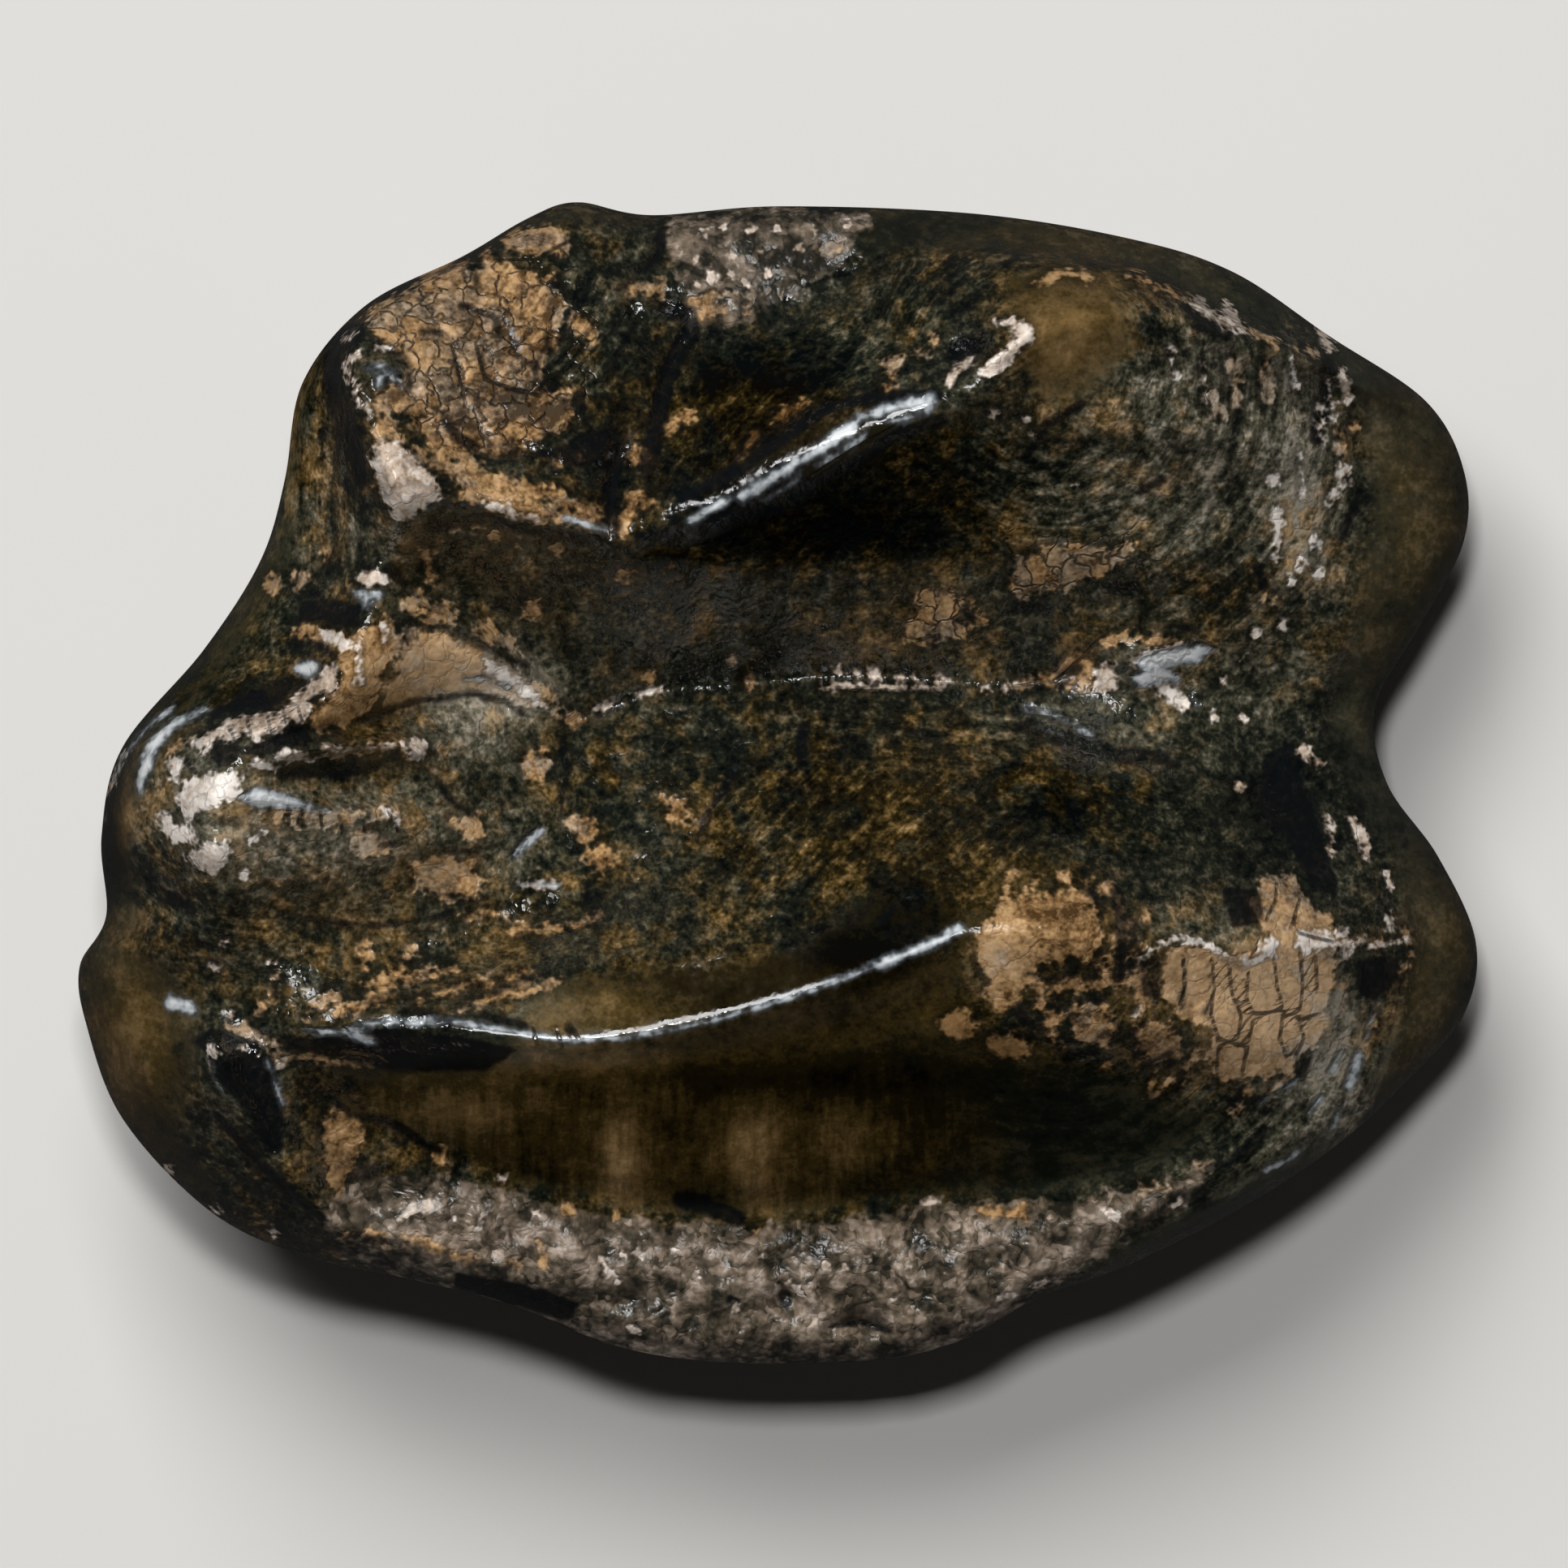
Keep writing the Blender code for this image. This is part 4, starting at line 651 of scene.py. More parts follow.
# Growth lines: (the place that they run round, closed outline of where they show).
GROWTH_LINES = [
    ((2050, 1500), [(800, 650), (830, 480), (880, 430), (1000, 430), (1060, 400), (1150, 480), (1020, 520),
     (900, 600)]),
    ((1290, 470), [(1060, 400), (1100, 330), (1160, 290), (1300, 290), (1400, 330), (1330, 360),
     (1200, 370), (1130, 420)]),
    ((1300, 1150), [(1200, 1290), (1300, 1262), (1420, 1240), (1500, 1340), (1600, 1320), (1640, 1240),
     (1660, 1180), (1735, 1170), (1740, 1330), (1650, 1412), (1500, 1500), (1350, 1560), (1400, 1450),
     (1200, 1420)]),
    ((2050, 2020), [(870, 980), (960, 930), (1100, 940), (1200, 960), (1290, 1040), (1200, 1080),
     (1130, 1050), (1050, 1100), (900, 1120)]),
    ((640, 3000), [(440, 1250), (450, 1200), (620, 1180), (700, 1200), (640, 1240), (520, 1256)]),
    ((960, 3000), [(960, 870), (1250, 880), (1280, 960), (1000, 930)]),
    ((480, 250), [(560, 440), (620, 340), (760, 340), (790, 450), (720, 530), (600, 540)]),
    ((1290, 470), [(1330, 330), (1480, 360), (1620, 430), (1680, 560), (1650, 700), (1560, 780),
     (1440, 760), (1330, 700), (1200, 640), (1180, 560), (1250, 520), (1340, 520), (1400, 440)]),
    ((3000, 520), [(345, 650), (360, 560), (378, 480), (420, 410), (450, 400), (440, 520), (470, 620),
     (440, 700), (380, 700)]),
    ((330, 930), [(140, 1000), (190, 1020), (210, 1080), (280, 1110), (330, 1140), (300, 1180),
     (220, 1160), (150, 1120)]),
    ((3000, 1400), [(440, 1350), (560, 1330), (900, 1330), (1180, 1300), (1200, 1420), (1000, 1490),
     (700, 1480), (520, 1430)]),
]

# Fine ridges and grooves: (rise in millimetres, half width in pixels, its line).
FINE_LINES = [
    (-0.4, 11, [(752, 660), (756, 605), (764, 565)]),
    (-0.45, 12, [(796, 600), (802, 570), (812, 520), (822, 470), (838, 438), (852, 410), (846, 386),
     (815, 374)]),
    (-0.35, 10, [(780, 392), (772, 365), (790, 338), (812, 318), (816, 285)]),
    (-0.2, 7, [(702, 892), (742, 876), (800, 853), (900, 843), (1000, 833), (1100, 834), (1200, 843),
     (1290, 838)]),
    (0.16, 8, [(268, 1290), (262, 1320), (276, 1346), (300, 1376), (345, 1440), (400, 1492), (430, 1520)]),
    (0.14, 7, [(322, 1292), (342, 1325), (352, 1360), (356, 1400)]),
    (-0.3, 14, [(300, 1320), (330, 1380), (345, 1410)]),
    (-0.35, 10, [(262, 868), (300, 878), (340, 866), (356, 846)]),
    (-0.3, 12, [(350, 820), (370, 800), (400, 792)]),
    (0.2, 11, [(214, 930), (240, 914), (272, 906), (300, 902), (330, 892), (358, 880), (385, 862),
     (404, 846)]),
    (0.18, 12, [(404, 846), (414, 826), (404, 806), (380, 800), (366, 812)]),
    (0.15, 9, [(312, 941), (350, 934), (400, 924), (450, 915), (520, 922)]),
    (-0.22, 9, [(330, 912), (380, 905), (430, 898)]),
    (-0.2, 8, [(470, 885), (500, 878), (540, 862), (600, 857), (624, 874)]),
    (0.12, 8, [(500, 744), (550, 764), (600, 789), (650, 826), (690, 866)]),
    (-0.18, 8, [(512, 762), (560, 790), (610, 812), (650, 846)]),
    (-0.25, 9, [(228, 1012), (262, 1022), (300, 1018)]), (0.15, 14, [(262, 1050), (266, 1060)]),
    (-0.25, 10, [(446, 395), (420, 402), (408, 440), (412, 490), (436, 540), (452, 590), (470, 625)]),
    (0.18, 8, [(437, 436), (426, 456), (432, 482), (447, 500), (460, 516)]),
    (-0.25, 8, [(448, 440), (446, 470), (458, 496), (486, 502), (514, 486)]),
    (-0.3, 9, [(520, 520), (556, 545), (600, 556), (650, 556), (700, 580), (745, 582)]),
    (-0.22, 8, [(572, 384), (620, 402), (640, 440), (668, 446), (682, 420)]),
    (-0.2, 8, [(600, 440), (612, 480), (640, 486), (665, 494), (700, 470)]),
    (-0.2, 7, [(560, 430), (572, 470), (570, 500), (600, 540)]),
    (-0.2, 7, [(596, 330), (590, 356), (598, 376), (576, 388)]), (-0.22, 12, [(530, 412), (545, 414)]),
    (-0.14, 7, [(1100, 395), (1096, 360), (1130, 318), (1180, 302), (1290, 298), (1350, 312)]),
    (-0.35, 10, [(1172, 440), (1190, 428), (1208, 434)]),
    (0.14, 7, [(1206, 456), (1226, 444), (1250, 430), (1265, 412), (1260, 400), (1246, 393)]),
    (-0.2, 8, [(1400, 356), (1450, 380), (1500, 408), (1560, 430)]),
    (-0.18, 7, [(1516, 432), (1510, 470), (1520, 540)]),
    (-0.16, 7, [(1534, 440), (1536, 490), (1528, 540)]), (-0.2, 9, [(1628, 450), (1632, 490), (1620, 540)]),
    (0.12, 8, [(1572, 622), (1574, 650), (1568, 688)]), (0.12, 9, [(1622, 662), (1608, 684), (1590, 718)]),
    (-0.25, 9, [(1300, 838), (1325, 830), (1345, 808)]),
    (-0.18, 8, [(1268, 890), (1300, 912), (1350, 930), (1400, 936), (1452, 942)]),
    (0.1, 7, [(1402, 1180), (1430, 1162), (1452, 1158), (1490, 1168), (1530, 1180), (1566, 1162),
     (1640, 1172)]),
    (0.08, 6, [(1640, 1160), (1700, 1162), (1735, 1158)]),
    (-0.16, 6, [(1406, 1190), (1414, 1210), (1418, 1232)]),
    (-0.14, 6, [(1468, 1180), (1474, 1210), (1470, 1252)]),
    (-0.14, 6, [(1492, 1178), (1496, 1210), (1502, 1240)]),
    (-0.12, 6, [(1524, 1196), (1532, 1240), (1546, 1262), (1548, 1312)]),
    (-0.15, 7, [(905, 952), (880, 992), (858, 1035)]), (-0.2, 7, [(1080, 1140), (1104, 1112)]),
    (-0.2, 7, [(1124, 1112), (1128, 1128)]), (-0.25, 9, [(1022, 1634), (1060, 1626), (1092, 1640)]),
    (0.2, 12, [(945, 1588), (962, 1578), (985, 1582), (996, 1600)]),
    (0.18, 10, [(600, 1476), (590, 1500), (584, 1514)]),
    (0.18, 12, [(490, 1502), (520, 1488), (548, 1486)]),
    (-0.22, 10, [(430, 1440), (440, 1480), (470, 1500)]),
    (0.15, 9, [(425, 1520), (470, 1522), (520, 1530), (565, 1546), (620, 1560)]),
    (-0.2, 12, [(600, 1575), (680, 1600), (760, 1606), (800, 1596)]),
]

# Crests that are worn round: (smoothing passes, reach from the crest in pixels, its line).
ROUNDED_CRESTS = [
    (5, 22, FRONT_CREST), (22, 34, REAR_CREST[5:]), (8, 26, REAR_CREST[:6]), (6, 24, OUTER_WALL),
    (16, 30, FRONT_LEDGE_LIP),
]

# Brightness of the enamel, with painted light and shade among it: lighter on walls that get little light,
# darker in bands under crests and in the cast shadow below the rear crest: (across, down, reach across, reach
# down, lighter or darker).
TONE_AND_PAINTED_SHADING_SPOTS = [
    (352, 600, 40, 120, 0.1), (400, 600, 25, 100, 0.1), (200, 860, 50, 40, -0.1), (135, 1030, 26, 70, -0.3),
    (165, 1015, 26, 40, 0.3), (150, 1270, 50, 120, 0.1), (215, 1240, 35, 30, 0.05),
    (330, 870, 60, 30, -0.2), (260, 980, 90, 80, 0.25), (480, 430, 60, 60, 0.05), (650, 410, 50, 50, -0.15),
    (640, 520, 60, 40, -0.15), (760, 520, 30, 90, -0.2), (880, 560, 90, 60, -0.1),
    (940, 480, 120, 60, -0.25), (950, 320, 120, 50, -0.1), (1100, 280, 100, 30, -0.05),
    (1150, 340, 90, 40, -0.05), (1000, 640, 200, 70, -0.3), (1300, 640, 100, 60, 0.15),
    (1480, 520, 150, 110, 0.15), (1600, 620, 45, 110, 0.35), (1450, 650, 90, 60, 0.1),
    (1620, 800, 50, 60, 0.05), (480, 660, 60, 50, 0.1), (620, 690, 90, 40, 0.1), (850, 740, 200, 60, 0.05),
    (1100, 720, 180, 50, 0.1), (560, 830, 90, 50, 0.4), (660, 850, 50, 30, 0.2), (590, 910, 80, 45, 0.25),
    (480, 1030, 160, 60, 0.2), (360, 1060, 100, 50, 0.1), (500, 1150, 140, 40, 0.05),
    (950, 930, 260, 70, -0.1), (740, 1060, 60, 40, -0.05), (1080, 1050, 120, 60, -0.05),
    (1120, 1120, 70, 40, -0.2), (1320, 1000, 130, 50, -0.15), (1480, 850, 90, 60, 0.15),
    (1570, 1000, 80, 90, -0.2), (1740, 620, 60, 140, 0.05), (1770, 1180, 60, 140, 0.05),
    (700, 1240, 80, 30, 0.15), (1050, 1170, 70, 30, -0.3), (720, 1304, 130, 22, 0.2),
    (980, 1325, 260, 22, -0.15), (565, 1372, 80, 38, 0.15), (765, 1425, 28, 60, 0.3),
    (925, 1415, 42, 60, 0.25), (1040, 1400, 60, 50, 0.15), (1200, 1390, 260, 80, -0.1),
    (1228, 1180, 30, 50, 0.2), (1540, 1230, 110, 90, 0.4), (1590, 1200, 50, 60, 0.1),
    (1650, 1300, 45, 90, 0.3), (1570, 1420, 110, 50, 0.1), (560, 1520, 70, 40, 0.05),
    (1350, 1540, 160, 50, 0.05), (900, 1215, 140, 30, -0.15), (1320, 405, 70, 85, 0.15),
]
# Warmth: the same, towards brown or towards blue-grey.
WARMTHS = [
    (900, 1370, 420, 110, 0.5), (1330, 1380, 170, 80, -0.3), (950, 1220, 220, 40, 0.5),
    (1060, 1010, 170, 120, 0.3), (960, 520, 160, 100, 0.3), (1310, 410, 90, 80, 0.6),
    (1570, 1000, 130, 130, -0.6), (1450, 1520, 220, 90, -0.3), (500, 1285, 160, 30, -0.3),
    (1500, 500, 170, 160, -0.3), (1000, 890, 260, 50, -0.2), (160, 1300, 60, 110, 0.5),
    (300, 1350, 50, 60, -0.5), (450, 840, 60, 60, 0.5), (165, 1015, 40, 50, 0.4), (1280, 1140, 90, 60, 0.5),
    (1540, 1230, 110, 90, 0.4), (1228, 1170, 30, 40, -0.3), (1310, 890, 60, 30, -0.5),
    (1184, 480, 40, 30, -0.5), (645, 1036, 40, 30, -0.3), (400, 560, 40, 130, 0.2),
    (1770, 1180, 60, 130, 0.1), (1620, 1330, 60, 90, -0.5), (1560, 1430, 90, 50, -0.5),
    (640, 850, 60, 40, -0.4), (580, 440, 130, 90, -0.2), (620, 1250, 70, 40, -0.2),
    (1050, 430, 120, 60, -0.3), (340, 680, 50, 120, -0.1), (1750, 620, 60, 130, 0.1),
    (950, 330, 130, 60, -0.2), (480, 1040, 160, 60, -0.1),
]

# Waves of the material: (waves a millimetre, detail).
WAVES = {"medium": (0.9, 3), "small": (2.5, 2), "fine": (6.0, 1), "grain": (14.0, 1)}
WAVE_ROUGHNESS = 0.6
STREAK_WAVES = (5.0, 3)
SWIRL_WAVES = (2.2, 2)
SWIRL_SHARE = 0.6
FLAKES = 1.9  # a millimetre
SPECKS = 5.0

# How much each wave adds to the brightness, the hue, the dullness and the way of a crack.
MOTTLED_TONE = {"medium": 0.5, "small": 0.45, "fine": 0.55, "grain": 0.3, "flake_tone": 0.08}
SMOOTH_TONE = {"medium": 0.3, "small": 0.18, "fine": 0.15, "grain": 0.12}
STREAK_TONE = {"streak": 0.8}
LEDGE_TONE = {"medium": 0.8, "small": 0.55, "fine": 0.2, "speck": 0.2, "hill": -0.15}
HUE = {"flake_hue": 0.35, "medium": 1.2, "small": 0.8}
DULLNESS = {"small": 0.4, "fine": 0.4, "medium": 0.3}
CRACK_WANDER = {"fine": 0.06}
MIDDLE_TONE = 0.47
MIDDLE_HUE = 0.42
SMOOTH_STREAKS = 0.4  # strength of the streaks, and of the change of hue, on smooth enamel
SMOOTH_HUE = 0.3

# Edge of each region: how far the waves make it wander, and half of its softness.
EDGES = {
    "smooth": ({"small": 0.5}, 0.25),
    "rough": ({"small": 0.8}, 0.08),
    "streaky": ({"small": 0.8}, 0.3),
    "tan": ({"small": 0.5, "fine": 0.3}, 0.08),
    "black": ({"small": 0.25}, 0.06),
    "pale": ({"small": 0.2, "fine": 0.3}, 0.06),
    "painted_highlight": ({"small": 0.25, "fine": 0.1}, 0.08),
    "crackle": ({"small": 0.8}, 0.2),
    "crack": ({}, 0.06),
    "root": ({"medium": 1.5}, 0.35),
    "matt": ({"small": 0.5}, 0.25),
}
# Painted shadow: a dark rim painted round the tan and pale marks, so that they look raised.
TAN_SHADOW = (-0.22, -0.08)  # where the dark rim round worn enamel begins and where it is full
PALE_SHADOW = (-0.14, -0.05)
SHADOW_SHARE = 0.5
WARM_HUES = (0.2, 0.8)
ORANGE_HUES = (0.05, 0.55)
NET_WIDTH = 0.09
NET_BREAKS = (0.36, 0.5)
MOTTLED_NET = 0.3  # strength of the fine net of cracks outside the crackled regions
CRACK_FADE = (0.015, 0.06)
BLACK_SHARE = 0.9
CRACK_AND_SHADOW_SHARE = 0.85
LEDGE_SHARE = 0.85

# Colours, from dark places to light ones.
COOL_ENAMEL = [
    (0.22, (0.002, 0.003, 0.003)), (0.40, (0.010, 0.012, 0.008)), (0.52, (0.037, 0.036, 0.022)),
    (0.66, (0.112, 0.104, 0.070)), (0.85, (0.360, 0.320, 0.250)),
]
WARM_ENAMEL = [
    (0.22, (0.003, 0.002, 0.001)), (0.40, (0.016, 0.011, 0.003)), (0.52, (0.060, 0.038, 0.010)),
    (0.66, (0.180, 0.110, 0.040)), (0.85, (0.480, 0.310, 0.140)),
]
ORANGE_TAN = [
    (0.30, (0.075, 0.038, 0.012)), (0.43, (0.21, 0.115, 0.044)), (0.57, (0.42, 0.25, 0.110)),
    (0.90, (0.74, 0.49, 0.27)),
]
PINK_TAN = [
    (0.30, (0.060, 0.043, 0.026)), (0.43, (0.18, 0.130, 0.085)), (0.57, (0.37, 0.28, 0.19)),
    (0.90, (0.70, 0.59, 0.47)),
]
# Pale wear and painted highlights.
PALE_WEAR_AND_HIGHLIGHT = [(0.3, (0.36, 0.26, 0.18)), (0.5, (0.60, 0.49, 0.40)), (0.7, (0.86, 0.79, 0.72))]
LEDGE_STONE = [
    (0.28, (0.018, 0.016, 0.011)), (0.42, (0.080, 0.062, 0.042)), (0.55, (0.20, 0.150, 0.108)),
    (0.72, (0.46, 0.37, 0.30)),
]
ROOT_STONE = [(0.35, (0.02, 0.014, 0.008)), (0.5, (0.07, 0.05, 0.03)), (0.65, (0.16, 0.12, 0.08))]
# Painted highlight colours, from the edge of a highlight mark to its middle.
PAINTED_HIGHLIGHT_COLOURS = [(0.0, (0.09, 0.10, 0.11)), (0.05, (0.33, 0.36, 0.38)), (0.12, (0.68, 0.69, 0.70))]
# Black enamel, and painted shade.
BLACK_ENAMEL_AND_SHADE = (0.003, 0.004, 0.005, 1)
CRACK_AND_SHADOW_COLOUR = (0.010, 0.008, 0.005, 1)

# Roughness, and what each region adds to it.
ENAMEL_ROUGHNESS = 0.22
LEAST_ROUGHNESS = 0.07
ADDED_ROUGHNESS = {"worn": 0.12, "rough": 0.20, "root": 0.40, "smooth": -0.02, "black": -0.06, "painted_highlight": -0.10}
ENAMEL_IOR = 1.6
GLOSS = (0.4, 0.0)  # on plain and on matt enamel
# Height of each wave's bumps on mottled and on calm enamel.
BUMPS = {"small": (0.12, 0.015), "fine": (0.035, 0.003), "grain": (0.004, 0.001)}
WORN_CALM = 0.7
LEDGE_BUMP = 0.02
CRACK_BUMP = 0.03


def plan(points):
    """Picture places as millimetres from the middle of the tooth, with anything else in the rows kept."""
    rows = np.array(points, float)
    rows[:, 0] = (rows[:, 0] - PICTURE_CENTRE[0]) * PIXEL
    rows[:, 1] = (PICTURE_CENTRE[1] - rows[:, 1]) * PIXEL
    return rows


def off_spot(x, y, across, down, reach_x, reach_y):
    """The square of each place's distance from a spot, as a share of the spot's reach."""
    (centre_x, centre_y), = plan([(across, down)])
    wide = (x - centre_x) / (reach_x * PIXEL)
    deep = (y - centre_y) / (reach_y * PIXEL)
    return wide**2 + deep**2


def soft_spots(x, y, spots):
    """The sum of soft round spots."""
    total = np.zeros(x.shape)
    for across, down, reach_x, reach_y, amount in spots:
        total += amount * np.exp(-off_spot(x, y, across, down, reach_x, reach_y))
    return total


def curve(points, step, closed=False):
    """A smooth line through the points, with a point about every step."""
    rows = plan(points)
    before = np.roll(rows, 1, axis=0) if closed else np.vstack([2 * rows[0] - rows[1], rows[:-1]])
    after = np.roll(rows, -1, axis=0) if closed else np.vstack([rows[1:], 2 * rows[-1] - rows[-2]])
    beyond = np.roll(after, -1, axis=0) if closed else np.vstack([after[1:], after[-1:]])
    found = []
    for a, b, c, d in zip(before, rows, after, beyond):
        count = max(1, int(np.hypot(*(c - b)[:2]) / step) + 1)
        t = (np.arange(count) / count)[:, None]
        bend = (c - a) * t + (2 * a - 5 * b + 4 * c - d) * t**2 + (3 * b - a - 3 * c + d) * t**3
        found.append(b + bend / 2)
    line = np.vstack(found)
    if closed:
        return line
    ends = (line[:, :2] - rows[-1, :2]) @ (rows[-1, :2] - rows[-2, :2])
    return np.vstack([line[ends < 0], rows[-1:]])


def sheet(squares):
    """Plan of a square grid pressed into the outline, and the rim's height in each point's direction."""
    across = np.linspace(-1, 1, squares + 1)
    u, v = np.meshgrid(across, across)
    x = u * np.sqrt(1 - v * v / 2)
    y = v * np.sqrt(1 - u * u / 2)
    inward = 1 - np.minimum(np.hypot(x, y), 1)
    gain = 1 / (1 - RIM_BAND / 2)
    crowded = np.where(inward < RIM_BAND, inward**2 / (2 * RIM_BAND), inward - RIM_BAND / 2)
    reach = 1 - gain * crowded
    turn = np.arctan2(y, x)
    rim = curve(OUTLINE, RIM_STEP, closed=True)
    rim_turn = np.arctan2(rim[:, 1], rim[:, 0])
    radius = np.interp(turn, rim_turn[::-1], np.hypot(rim[:, 0], rim[:, 1])[::-1], period=2 * np.pi)
    height = np.interp(turn, rim_turn[::-1], rim[::-1, 2], period=2 * np.pi)
    return reach * radius * np.cos(turn), reach * radius * np.sin(turn), height


def points_along(line, tree, columns):
    """The sheet points nearest to a line, in order: row, column and the line's own nearest place."""
    found = []
    for place in line:
        _, index, gap = tree.find((place[0], place[1], 0))
        if found and found[-1][0] == index:
            if gap < found[-1][1]:
                found[-1] = (index, gap, place)
        else:
            found.append((index, gap, place))
    return [(*divmod(index, columns), place) for index, _, place in found]


def single_file(path):
    """The path without the points that only cut a corner, so that it is one point wide."""
    kept = path[:1]
    for here, after in zip(path[1:], path[2:]):
        if max(abs(after[0] - kept[-1][0]), abs(after[1] - kept[-1][1])) > 1:
            kept.append(here)
    return kept + path[-1:]


def hold_lines(x, y, z, crests, soft_lines):
    """Fixes the sheet points nearest to each line at its height, and moves those by a crest onto it."""
    tree = KDTree(x.size)
    for index, place in enumerate(zip(x.flat, y.flat)):
        tree.insert((*place, 0), index)
    tree.balance()
    step = LINE_STEP * CROWN_WIDTH / x.shape[1]
    last = x.shape[1] - 1
    kind = np.zeros(x.shape, int)
    for mark, lines in ((SOFT, soft_lines), (CREST, crests)):
        for line in lines:
            path = points_along(curve(line, step), tree, x.shape[1])
            for row, column, place in single_file(path) if mark == CREST else path:
                if 0 < row < last and 0 < column < last:
                    kind[row, column] = mark
                    z[row, column] = place[2]
                    if mark == CREST:
                        x[row, column], y[row, column] = place[:2]
    return kind


def relax(z, fixed, steps):
    """Each free point takes the mean height of its neighbours, again and again."""
    free = ~fixed[INNER]
    for _ in range(steps):
        mean = (z[:-2, 1:-1] + z[2:, 1:-1] + z[1:-1, :-2] + z[1:-1, 2:]) / 4
        z[INNER] = np.where(free, mean, z[INNER])


def stretched(squares, crests, soft_lines, flats=()):
    """A sheet over the lines: its plan, its heights and which points lie on a crest."""
    x, y, z = sheet(squares)
    rim = np.ones(x.shape, bool)
    rim[INNER] = False
    if squares > COARSEST_GRID:
        coarse = stretched(squares // 2, crests, soft_lines, flats)[2]
        fine = np.repeat(np.repeat(coarse[:-1, :-1], 2, axis=0), 2, axis=1)
        z[INNER] = fine[1:, 1:]
    kind = hold_lines(x, y, z, crests, soft_lines)
    flat = np.zeros(x.shape, bool)
    for end in flats:
        flat |= off_spot(x, y, *end) < EDGE_INSIDE
    z[flat] = 0
    for values in (x, y):
        relax(values, rim | (kind == CREST), SPREAD_STEPS)
    relax(z, rim | flat | (kind > 0), SETTLE_STEPS)
    softening = int(round((SOFTEN_REACH * squares / CROWN_WIDTH) ** 2))
    relax(z, rim | flat | (kind == CREST), softening)
    return x, y, z, kind == CREST


def end_edge(across, down, half_width, half_depth):
    """The edge of a worn root end, as a line of the form."""
    turns = np.linspace(0, 2 * np.pi, ROOT_EDGE_POINTS + 1)
    return [(across + half_width * np.cos(t), down + half_depth * np.sin(t), 0) for t in turns]


def lumps(x, y):
    """The height of the small lumps and pits."""
    return soft_spots(x, y, [(across, down, radius, radius, rise) for across, down, radius, rise in LUMPS])


def faces_of(index, z, crest, outward):
    """Two triangles a square, folded along a crest, or else along the more level diagonal."""
    a, b = index[:-1, :-1], index[:-1, 1:]
    c, d = index[1:, 1:], index[1:, :-1]
    level = np.abs(z[:-1, 1:] - z[1:, :-1]) < np.abs(z[:-1, :-1] - z[1:, 1:])
    crest_ac = crest[:-1, :-1] & crest[1:, 1:]
    crest_bd = crest[:-1, 1:] & crest[1:, :-1]
    fold_bd = crest_bd | (level & ~crest_ac)
    first = np.stack([a, b, np.where(fold_bd, d, c)], axis=-1)
    second = np.stack([np.where(fold_bd, b, a), c, d], axis=-1)
    faces = np.concatenate([first.reshape(-1, 3), second.reshape(-1, 3)])
    return (faces if outward else faces[:, ::-1]).tolist()


def pinch_neck(points, rim_height):
    """Draws the tooth in a little under its widest contour."""
    depth = (rim_height - points[:, 2] - NECK_DROP) / NECK_REACH
    inward = NECK_PINCH * np.exp(-depth * depth)
    reach = np.hypot(points[:, 0], points[:, 1])
    scale = 1 - inward / np.maximum(reach, 1)
    return points * np.column_stack([scale, scale, np.ones(len(points))])


def value_noise(x, y, cell, seed):
    """Smooth random waves between -0.5 and 0.5, with a new value about every cell."""
    count = int(CROWN_WIDTH * NOISE_SPAN / cell) + NOISE_MARGIN
    values = np.random.default_rng(seed).random((count, count)) - 0.5
    across = (x + CROWN_WIDTH * NOISE_START) / cell
    along = (y + CROWN_WIDTH * NOISE_START) / cell
    i = np.clip(across.astype(int), 0, count - 2)
    j = np.clip(along.astype(int), 0, count - 2)
    u, v = (t * t * (3 - 2 * t) for t in (across - i, along - j))
    low = values[j, i] * (1 - u) + values[j, i + 1] * u
    high = values[j + 1, i] * (1 - u) + values[j + 1, i + 1] * u
    return low * (1 - v) + high * v


def layered_noise(x, y, cell, seed, layers=3):
    """Waves on waves, each half as wide and half as high."""
    return sum(value_noise(x, y, cell / 2**n, seed + n) / 2**n for n in range(layers))


def near_box(points, x, y, margin):
    """Which places lie within margin of the box round the points."""
    low = points.min(axis=0) - margin
    high = points.max(axis=0) + margin
    return (x > low[0]) & (x < high[0]) & (y > low[1]) & (y < high[1])


def distance_to(line, x, y):
    """The distance of each place to a line of straight pieces."""
    nearest = np.full(x.shape, FAR_OFF)
    for (ax, ay), (bx, by) in zip(line[:-1], line[1:]):
        length = max((bx - ax) ** 2 + (by - ay) ** 2, TINY)
        t = np.clip(((x - ax) * (bx - ax) + (y - ay) * (by - ay)) / length, 0, 1)
        nearest = np.minimum(nearest, np.hypot(x - ax - t * (bx - ax), y - ay - t * (by - ay)))
    return nearest


def inside_of(ring, x, y):
    """Which places lie inside a closed ring."""
    inside = np.zeros(x.shape, bool)
    for (ax, ay), (bx, by) in zip(ring[:-1], ring[1:]):
        if ay != by:
            inside ^= ((ay > y) != (by > y)) & (x < (bx - ax) * (y - ay) / (by - ay) + ax)
    return inside


def region(x, y, patches=(), strokes=(), dots=()):
    """How far inside the nearest patch, stroke or dot each place is, and below zero outside."""
    depth = np.full(x.shape, -FIELD_REACH)
    for outline in patches:
        ring = plan([*outline, outline[0]])
        near = near_box(ring, x, y, FIELD_REACH)
        away = distance_to(ring, x[near], y[near])
        within = inside_of(ring, x[near], y[near])
        depth[near] = np.maximum(depth[near], np.where(within, away, -away))
    for width, points in strokes:
        line = plan(points)
        half = width * PIXEL / 2
        near = near_box(line, x, y, FIELD_REACH + half)
        depth[near] = np.maximum(depth[near], half - distance_to(line, x[near], y[near]))
    for across, down, radius in dots:
        (centre_x, centre_y), = plan([(across, down)])
        depth = np.maximum(depth, radius * PIXEL - np.hypot(x - centre_x, y - centre_y))
    return np.minimum(depth, FIELD_REACH)


